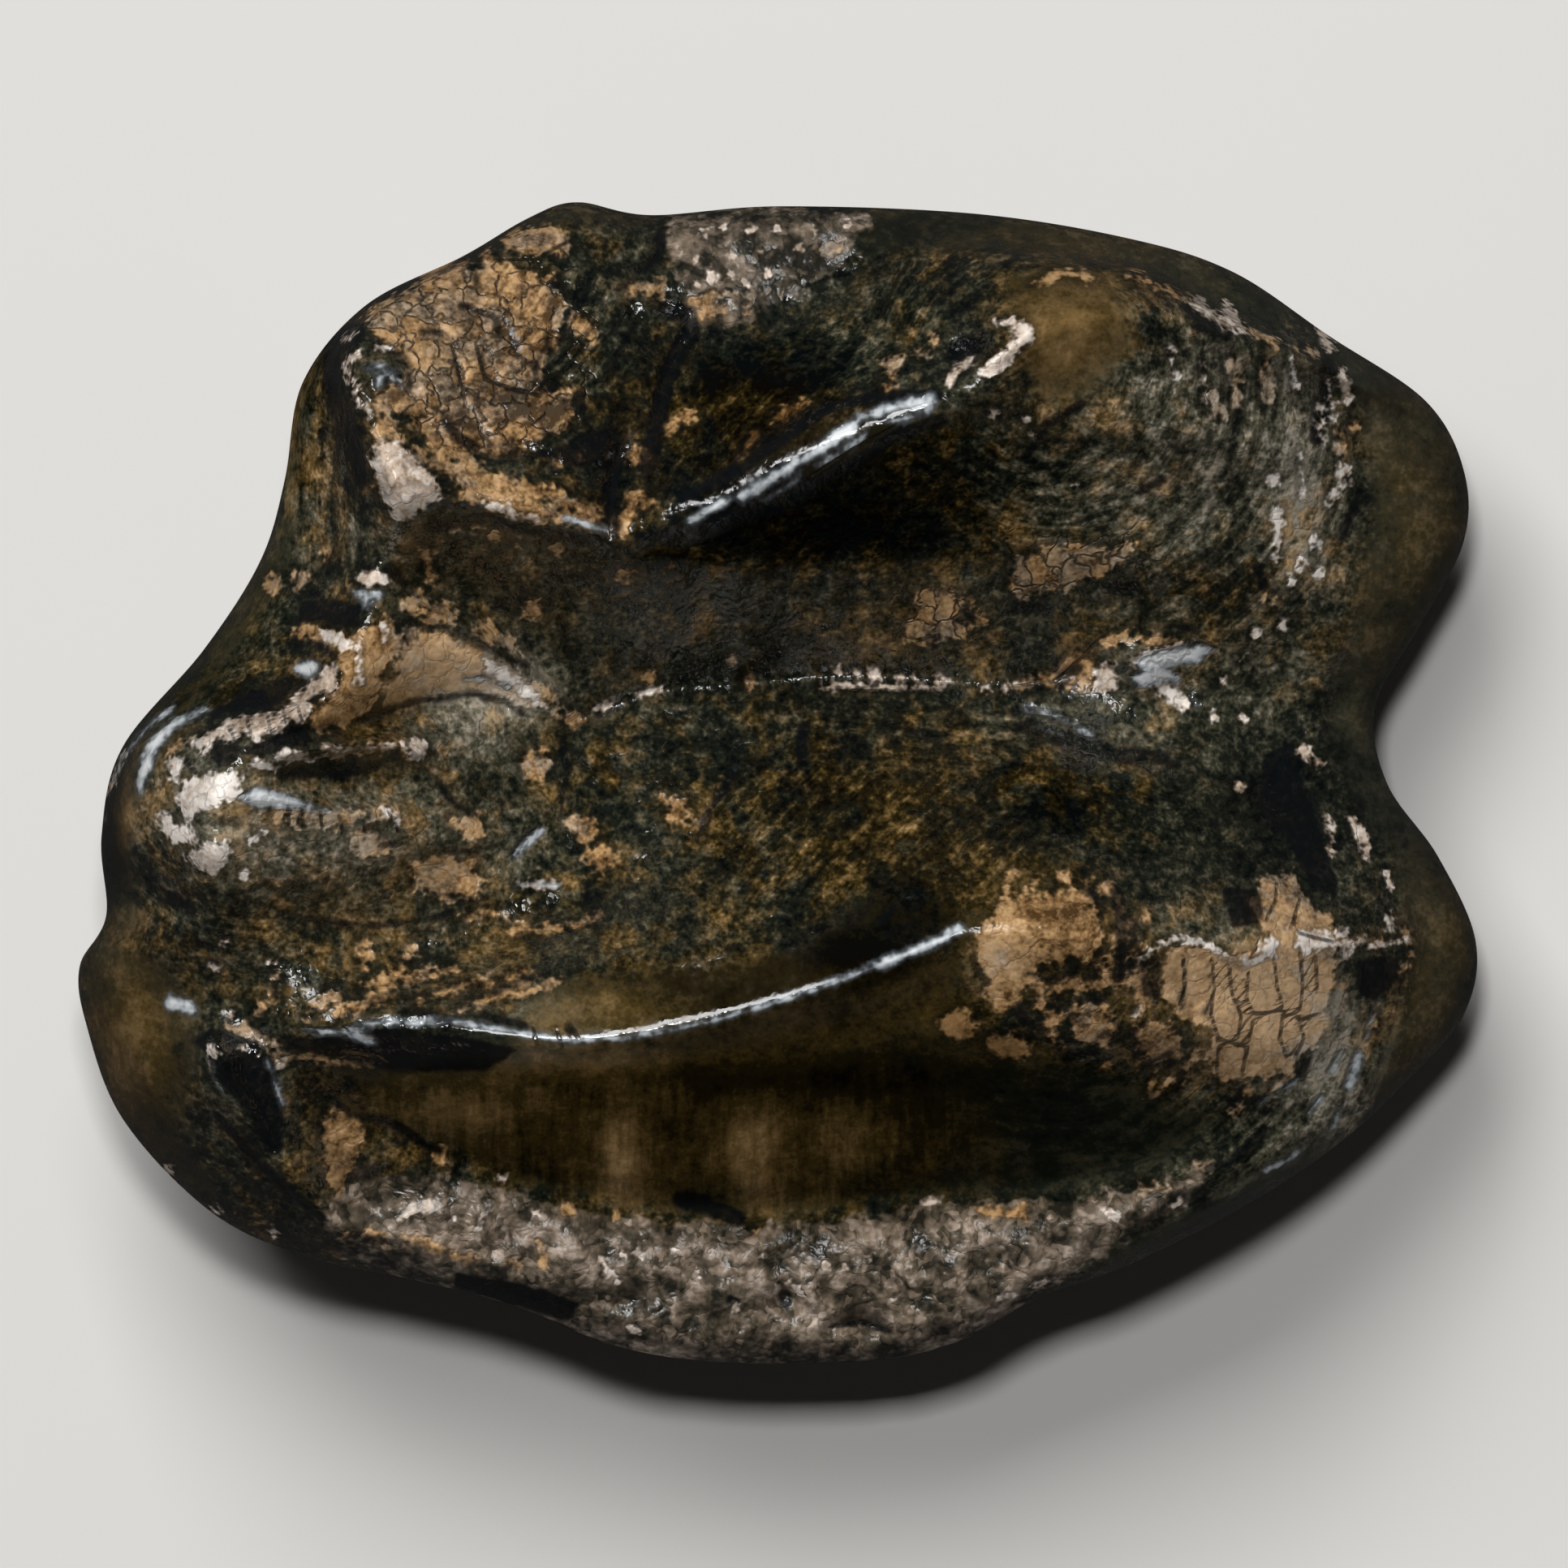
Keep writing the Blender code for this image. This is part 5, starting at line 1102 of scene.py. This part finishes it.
def side_of(x, y, lines):
    """The distance of each place to the nearest line, and below zero on the line's other side."""
    side = np.full(x.shape, FIELD_REACH)
    nearest = np.full(x.shape, FIELD_REACH)
    for points in lines:
        line = plan(points)
        for start, end in zip(line[:-1], line[1:]):
            away = distance_to([start, end], x, y)
            along = (end - start) / np.hypot(*(end - start))
            across = (x - start[0]) * along[1] - (y - start[1]) * along[0]
            side = np.where(away < nearest, across, side)
            nearest = np.minimum(away, nearest)
    return side


def along_growth(x, y):
    """Places measured across and along the growth lines, those along them squeezed together."""
    nearest = np.full(x.shape, -FIELD_REACH)
    places = np.zeros((*x.shape, 3))
    for middle, outline in GROWTH_LINES:
        (centre_x, centre_y), = plan([middle])
        ahead = plan(outline).mean(axis=0) - (centre_x, centre_y)
        dx, dy = x - centre_x, y - centre_y
        turn = np.arctan2(dy * ahead[0] - dx * ahead[1], dx * ahead[0] + dy * ahead[1])
        here = np.stack([np.hypot(dx, dy), turn * np.hypot(*ahead) * STREAK_SQUEEZE, 0 * x], axis=-1)
        depth = region(x, y, [outline])
        places = np.where((depth > nearest)[..., None], here, places)
        nearest = np.maximum(nearest, depth)
    return places


def regions(x, y):
    """What the surface is like at each place, for its colour, gloss and relief, with painted highlights and
    painted light and shade among the marks.
    """
    return {
        "smooth": region(x, y, SMOOTH_PATCHES, SMOOTH_STROKES),
        "rough": region(x, y, ROUGH_PATCHES),
        "matt": region(x, y, MATT_PATCHES),
        "black": region(x, y, BLACK_AND_SHADE_PATCHES, BLACK_AND_SHADE_STROKES),
        "tan": region(x, y, TAN_PATCHES, TAN_STROKES, TAN_DOTS),
        "pale": region(x, y, PALE_WEAR_AND_HIGHLIGHT_PATCHES, PALE_WEAR_AND_HIGHLIGHT_STROKES, PALE_WEAR_AND_HIGHLIGHT_DOTS),
        "painted_highlight": region(x, y, PAINTED_HIGHLIGHT_PATCHES, PAINTED_HIGHLIGHT_STROKES),
        "crackle": region(x, y, CRACKLE_PATCHES),
        "streaky": region(x, y, [outline for _, outline in GROWTH_LINES]),
        "crack": region(x, y, strokes=[(CRACK_WIDTH, line) for line in CRACKS]),
        "crack_side": side_of(x, y, CRACKS),
        "root": np.full(x.shape, -FIELD_REACH),
        "tone_and_painted_shading": soft_spots(x, y, TONE_AND_PAINTED_SHADING_SPOTS),
        "warmth": soft_spots(x, y, WARMTHS),
    }


def share(depth, soft):
    """From 0 outside a region to 1 inside it."""
    t = np.clip(depth / (2 * soft) + 0.5, 0, 1)
    return t * t * (3 - 2 * t)


def worn_round(x, y, z):
    """Rounds off some crests, wider where they are more worn."""
    for passes, reach, crest in ROUNDED_CRESTS:
        line = curve(crest, CREST_STEP)[:, :2]
        near = near_box(line, x, y, reach * PIXEL)
        away = np.full(x.shape, FAR_OFF)
        away[near] = distance_to(line, x[near], y[near])
        relax(z, away > reach * PIXEL, passes)


def fine_lines(x, y):
    """The height of the fine ridges and grooves."""
    height = np.zeros(x.shape)
    for rise, half_width, points in FINE_LINES:
        line = plan(points)
        reach = half_width * PIXEL
        near = near_box(line, x, y, LINE_SPREAD * reach)
        height[near] += rise * np.exp(-((distance_to(line, x[near], y[near]) / reach) ** 2))
    return height


def relief(x, y, found):
    """The height of the fine lines, of the swells and of the ledges' knobs on the biting face."""
    rough = share(found["rough"], ROUGH_FADE)
    plain = (1 - share(found["smooth"], SMOOTH_FADE)) * (1 - rough)
    plain *= 1 - BLACK_CALM * share(found["black"] + BLACK_MARGIN, ROUGH_FADE)
    fine = value_noise(x, y, FINE_CELL, FINE_SEED)
    height = fine_lines(x, y)
    for amount, seed, swell, fine_rise in ((plain, *PLAIN_RELIEF), (rough, *ROUGH_RELIEF)):
        height += amount * (swell * layered_noise(x, y, SWELL_CELL, seed) + fine_rise * fine)
    return height


def rim_between(index, ratio):
    """The fine rim points that lie between two coarse ones, by the coarse pair, in order."""
    ring = np.concatenate([index[0, :-1], index[:-1, -1], index[-1, :0:-1], index[:0:-1, 0]]).tolist()
    found = {}
    for start in range(0, len(ring), ratio):
        a, *middle, b = [ring[(start + n) % len(ring)] for n in range(ratio + 1)]
        found[a, b] = middle
        found[b, a] = middle[::-1]
    return found


def keep_on(mesh, name, kind, values):
    """Keeps a number or a place for each point of the mesh, for the material."""
    layer = mesh.attributes.new(name, kind, "POINT")
    layer.data.foreach_set("value" if kind == "FLOAT" else "vector", np.ravel(values))


def tooth_mesh():
    """The biting face on a fine sheet and the underside on a coarser one, with what the material reads."""
    x, y, z, crest = stretched(TOP_GRID, CRESTS, SOFT_LINES)
    worn_round(x, y, z)
    z[INNER] += lumps(x[INNER], y[INNER])
    found = regions(x, y)
    places = np.column_stack([x.ravel(), y.ravel(), z.ravel() * GRAIN_RISE])
    z[INNER] += relief(x, y, found)[INNER]
    top = np.column_stack([x.ravel(), y.ravel(), z.ravel()])

    edges = [end_edge(*end) for end in ROOT_ENDS]
    *under_sheet, edge = stretched(UNDER_GRID, edges, FORK_LINES, ROOT_ENDS)
    under = np.column_stack([values[INNER].ravel() for values in under_sheet])
    rim_height = sheet(UNDER_GRID)[2][INNER].ravel()
    depth = rim_height - under[:, 2]
    under = pinch_neck(under, rim_height)
    under_places = np.column_stack([under[:, :2], rim_height * GRAIN_RISE - depth])

    ratio = TOP_GRID // UNDER_GRID
    top_index = np.arange(x.size).reshape(x.shape)
    under_index = top_index[::ratio, ::ratio].copy()
    under_index[INNER] = np.arange(len(under)).reshape(UNDER_GRID - 1, -1) + x.size
    seam = rim_between(top_index, ratio)
    faces = faces_of(top_index, z, crest, True)
    for face in faces_of(under_index, under_sheet[2], edge, False):
        pairs = zip(face, face[1:] + face[:1])
        faces.append([point for a, b in pairs for point in [a, *seam.get((a, b), [])]])

    mesh = bpy.data.meshes.new(PIECE)
    mesh.from_pydata((np.vstack([top, under]) * METRES).tolist(), [], faces)
    mesh.polygons.foreach_set("use_smooth", [True] * len(mesh.polygons))
    for name, values in found.items():
        below = np.full(len(under), 0 if name in ("tone_and_painted_shading", "warmth") else -FIELD_REACH)
        if name == "root":
            below = depth - ENAMEL_BELOW_RIM
        keep_on(mesh, name, "FLOAT", np.concatenate([values.ravel(), below]))
    keep_on(mesh, "place", "FLOAT_VECTOR", np.vstack([places, under_places]))
    streaks = along_growth(x, y).reshape(-1, 3)
    keep_on(mesh, "streaks", "FLOAT_VECTOR", np.vstack([streaks, np.zeros((len(under), 3))]))
    return mesh


def fit_inside(mesh, low, high):
    """Brings points that would stick out of the solid's box back to its sides."""
    points = np.empty(len(mesh.vertices) * 3, np.float32)
    mesh.vertices.foreach_get("co", points)
    mesh.vertices.foreach_set("co", np.clip(points.reshape(-1, 3), low, high).ravel())


def add(tree, kind, sockets, **settings):
    """A shader node; each named socket takes a number, a colour or the value that another node gives."""
    node = tree.nodes.new("ShaderNode" + kind)
    for name, value in settings.items():
        setattr(node, name, value)
    for key, value in sockets.items():
        if isinstance(value, Value):
            tree.links.new(value.socket, node.inputs[key])
        else:
            node.inputs[key].default_value = value
    return node


class Value:
    """A number or a colour over the whole surface: what a shader node gives."""

    def __init__(self, node, output=0):
        self.socket = node.outputs[output]
        self.tree = node.id_data

    def maths(self, operation, a, b=0.0):
        return Value(add(self.tree, "Math", {0: a, 1: b}, operation=operation))

    def __add__(self, other):
        return self.maths("ADD", self, other)

    def __sub__(self, other):
        return self.maths("SUBTRACT", self, other)

    def __mul__(self, other):
        return self.maths("MULTIPLY", self, other)

    def __abs__(self):
        return self.maths("ABSOLUTE", self)

    def scaled(self, amount, start):
        return Value(add(self.tree, "Math", {0: self, 1: amount, 2: start}, operation="MULTIPLY_ADD"))

    def rest(self):
        """What is left of 1."""
        return self.maths("SUBTRACT", 1.0, self)

    def or_more(self, other):
        return self.maths("MAXIMUM", self, other)

    def between(self, low, high):
        """From 0 at low to 1 at high."""
        sockets = {"Value": self, "From Min": low, "From Max": high}
        return Value(add(self.tree, "MapRange", sockets, interpolation_type="SMOOTHSTEP"))

    def blend(self, low, high):
        """A number between low, where this is 0, and high, where it is 1."""
        return Value(add(self.tree, "Mix", {0: self, 2: low, 3: high}, data_type="FLOAT"))

    def cover(self, amount, colour, how="MIX"):
        """This colour with another over it."""
        sockets = {0: amount, 6: self, 7: colour}
        return Value(add(self.tree, "Mix", sockets, data_type="RGBA", blend_type=how), 2)

    def colours(self, stops):
        """The colour of each number, from a list of numbers and colours."""
        node = add(self.tree, "ValToRGB", {0: self})
        while len(node.color_ramp.elements) < len(stops):
            node.color_ramp.elements.new(0.5)
        for element, (place, colour) in zip(node.color_ramp.elements, stops):
            element.position = place
            element.color = (*colour, 1)
        return Value(node)


def attribute(tree, name, output="Fac"):
    return Value(add(tree, "Attribute", {}, attribute_name=name), output)


def waves(place, scale, detail):
    sockets = {"Vector": place, "Scale": scale, "Detail": detail, "Roughness": WAVE_ROUGHNESS}
    return Value(add(place.tree, "TexNoise", sockets))


def cells(place, scale, **settings):
    return add(place.tree, "TexVoronoi", {"Vector": place, "Scale": scale}, **settings)


def parts(node):
    """The three random numbers in each cell's colour."""
    return add(node.id_data, "SeparateColor", {0: Value(node, "Color")})


def all_waves(tree):
    """Every wave by name, and the distance to the lines between the flakes."""
    place = attribute(tree, "place", "Vector")
    sockets = {"Vector": place, "Scale": SWIRL_WAVES[0], "Detail": SWIRL_WAVES[1]}
    swirl = Value(add(tree, "TexNoise", sockets), "Color")
    warped = place.cover(SWIRL_SHARE, swirl, "ADD")
    found = {name: waves(place, *sizes) for name, sizes in WAVES.items()}
    found["streak"] = waves(attribute(tree, "streaks", "Vector"), *STREAK_WAVES)
    flakes = parts(cells(warped, FLAKES))
    found["flake_tone"] = Value(flakes, 0)
    found["flake_hue"] = Value(flakes, 1)
    specks = cells(warped, SPECKS)
    found["hill"] = Value(specks, "Distance")
    found["speck"] = Value(parts(specks))
    gaps = Value(cells(warped, FLAKES, feature="DISTANCE_TO_EDGE"), "Distance")
    return found, gaps


def summed(values):
    """The sum of a few values."""
    first, *others = values
    for other in others:
        first = first + other
    return first


def weighted(wave, weights):
    """The sum of the named waves, each brought to lie around 0 and weighted."""
    return summed([wave[name].scaled(weight, -weight / 2) for name, weight in weights.items()])


def fossil_enamel():
    """Mottled olive, brown and blue-black gloss, with tan and cream wear, cracks, dull ledges, painted
    highlights and painted shade.
    """
    material = bpy.data.materials.new("fossil_enamel_looks")
    material.use_nodes = True
    tree = material.node_tree
    shader = tree.nodes["Principled BSDF"]
    wave, gaps = all_waves(tree)
    # Soft spots of the enamel's own brightness, and of painted light and shade.
    tone_and_painted_shading = attribute(tree, "tone_and_painted_shading")
    depth = {}
    inside = {}
    for name, (weights, soft) in EDGES.items():
        depth[name] = attribute(tree, name)
        if weights:
            depth[name] = depth[name] + weighted(wave, weights)
        inside[name] = depth[name].between(-soft, soft)
    smooth, rough, tan, black, pale = (inside[name] for name in ("smooth", "rough", "tan", "black", "pale"))

    streaks = weighted(wave, STREAK_TONE) * inside["streaky"] * smooth.blend(1.0, SMOOTH_STREAKS)
    level = smooth.blend(weighted(wave, MOTTLED_TONE), weighted(wave, SMOOTH_TONE)) + streaks
    level = level + MIDDLE_TONE + tone_and_painted_shading
    hue = weighted(wave, HUE) * smooth.blend(1.0, SMOOTH_HUE) + MIDDLE_HUE + attribute(tree, "warmth")
    colour = level.colours(COOL_ENAMEL).cover(hue.between(*WARM_HUES), level.colours(WARM_ENAMEL))
    tan_colour = level.colours(PINK_TAN).cover(hue.between(*ORANGE_HUES), level.colours(ORANGE_TAN))
    # Tan wear, then black enamel and painted shade.
    colour = colour.cover(tan, tan_colour).cover(black * BLACK_SHARE, BLACK_ENAMEL_AND_SHADE)
    # Pale wear and painted highlights.
    colour = colour.cover(pale, level.colours(PALE_WEAR_AND_HIGHLIGHT))
    # Painted highlights over the other colours, whitest deep inside each mark.
    colour = colour.cover(inside["painted_highlight"], depth["painted_highlight"].colours(PAINTED_HIGHLIGHT_COLOURS))

    shadow = depth["tan"].between(*TAN_SHADOW) - tan
    shadow = shadow.or_more(depth["pale"].between(*PALE_SHADOW) - pale)
    net = gaps.between(0.0, NET_WIDTH).rest() * wave["fine"].between(*NET_BREAKS)
    net = net * inside["crackle"].blend(smooth.blend(MOTTLED_NET, 0.0), 1.0)
    off_line = abs(attribute(tree, "crack_side") + weighted(wave, CRACK_WANDER))
    line = off_line.between(*CRACK_FADE).rest() * inside["crack"]
    # Cracks, the fine net and the painted shadow rims share one dark colour.
    crack = net.or_more(line).or_more(shadow * SHADOW_SHARE)
    colour = colour.cover(crack * CRACK_AND_SHADOW_SHARE, CRACK_AND_SHADOW_COLOUR)

    ledge = (weighted(wave, LEDGE_TONE) + MIDDLE_TONE + tone_and_painted_shading).colours(LEDGE_STONE)
    on_ledge = rough * pale.or_more(black).rest() * tan.rest()
    colour = colour.cover(on_ledge * LEDGE_SHARE, ledge)
    colour = colour.cover(inside["root"], wave["small"].colours(ROOT_STONE))
    tree.links.new(colour.socket, shader.inputs["Base Color"])

    # Tan and pale marks, the painted highlights among the pale ones too, are rougher and have calmer bumps.
    inside["worn"] = tan.or_more(pale)
    dull = weighted(wave, DULLNESS)
    for name, amount in ADDED_ROUGHNESS.items():
        dull = dull + inside[name] * amount
    dull = (dull + ENAMEL_ROUGHNESS).or_more(LEAST_ROUGHNESS)
    tree.links.new(dull.socket, shader.inputs["Roughness"])
    shader.inputs["IOR"].default_value = ENAMEL_IOR
    tree.links.new(inside["matt"].blend(*GLOSS).socket, shader.inputs["Specular IOR Level"])

    calm = smooth.or_more(inside["painted_highlight"]).or_more(inside["worn"] * WORN_CALM)
    height = summed([wave[name] * calm.blend(*rises) for name, rises in BUMPS.items()])
    height = height - wave["hill"] * (rough * LEDGE_BUMP) - crack * CRACK_BUMP
    bump = Value(add(tree, "Bump", {"Height": height, "Strength": 1.0, "Distance": METRES}))
    tree.links.new(bump.socket, shader.inputs["Normal"])
    return material


def pale_floor():
    mesh = bpy.data.meshes.new("floor")
    half = FLOOR_HALF * METRES
    corners = [(-half, -half, 0), (half, -half, 0), (half, half, 0), (-half, half, 0)]
    mesh.from_pydata(corners, [], [(0, 1, 2, 3)])
    material = bpy.data.materials.new("pale_floor")
    material.use_nodes = True
    shader = material.node_tree.nodes["Principled BSDF"]
    shader.inputs["Base Color"].default_value = FLOOR_COLOUR
    shader.inputs["Roughness"].default_value = FLOOR_ROUGHNESS
    mesh.materials.append(material)
    floor = bpy.data.objects.new("floor", mesh)
    floor.visible_glossy = False
    bpy.context.scene.collection.objects.link(floor)


def area_light(name, place, size, power):
    """A soft square light that faces the tooth."""
    lamp = bpy.data.lights.new(name, "AREA")
    lamp.size = size
    lamp.energy = power
    holder = bpy.data.objects.new(name, lamp)
    holder.location = place
    aim = Vector((0, 0, TOOTH_MIDDLE * METRES)) - holder.location
    holder.rotation_euler = aim.to_track_quat("-Z", "Y").to_euler()
    bpy.context.scene.collection.objects.link(holder)


def surround():
    """Faint white light from all round."""
    world = bpy.data.worlds.new("studio")
    world.use_nodes = True
    background = world.node_tree.nodes["Background"]
    background.inputs["Color"].default_value = (1, 1, 1, 1)
    background.inputs["Strength"].default_value = SURROUND_STRENGTH
    bpy.context.scene.world = world


def camera():
    """Straight above, far off with a long lens, framed like the photograph."""
    lens = bpy.data.cameras.new("camera")
    holder = bpy.data.objects.new("camera", lens)
    middle_x = (PHOTO_SIDE / 2 - PICTURE_CENTRE[0]) * PIXEL
    middle_y = (PICTURE_CENTRE[1] - PHOTO_SIDE / 2) * PIXEL
    holder.location = Vector((middle_x, middle_y, CAMERA_HEIGHT)) * METRES
    lens.sensor_width = SENSOR
    lens.lens = SENSOR * (CAMERA_HEIGHT - TOOTH_MIDDLE) / (PHOTO_SIDE * PIXEL)
    lens.clip_start, lens.clip_end = CLIP_RANGE
    bpy.context.scene.collection.objects.link(holder)
    bpy.context.scene.camera = holder


def main():
    mesh = tooth_mesh()
    fit_inside(mesh, *map(np.array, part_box(NODE)))
    mesh.materials.append(fossil_enamel())
    tooth = bpy.data.objects.new(PIECE, mesh)
    bpy.context.scene.collection.objects.link(tooth)
    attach(tooth, "root")
    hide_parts(NODE)
    pale_floor()
    for name, placing in LIGHTS.items():
        area_light(name, *placing)
    surround()
    camera()
    view = bpy.context.scene.view_settings
    view.view_transform = "Standard"
    view.exposure = 0


main()
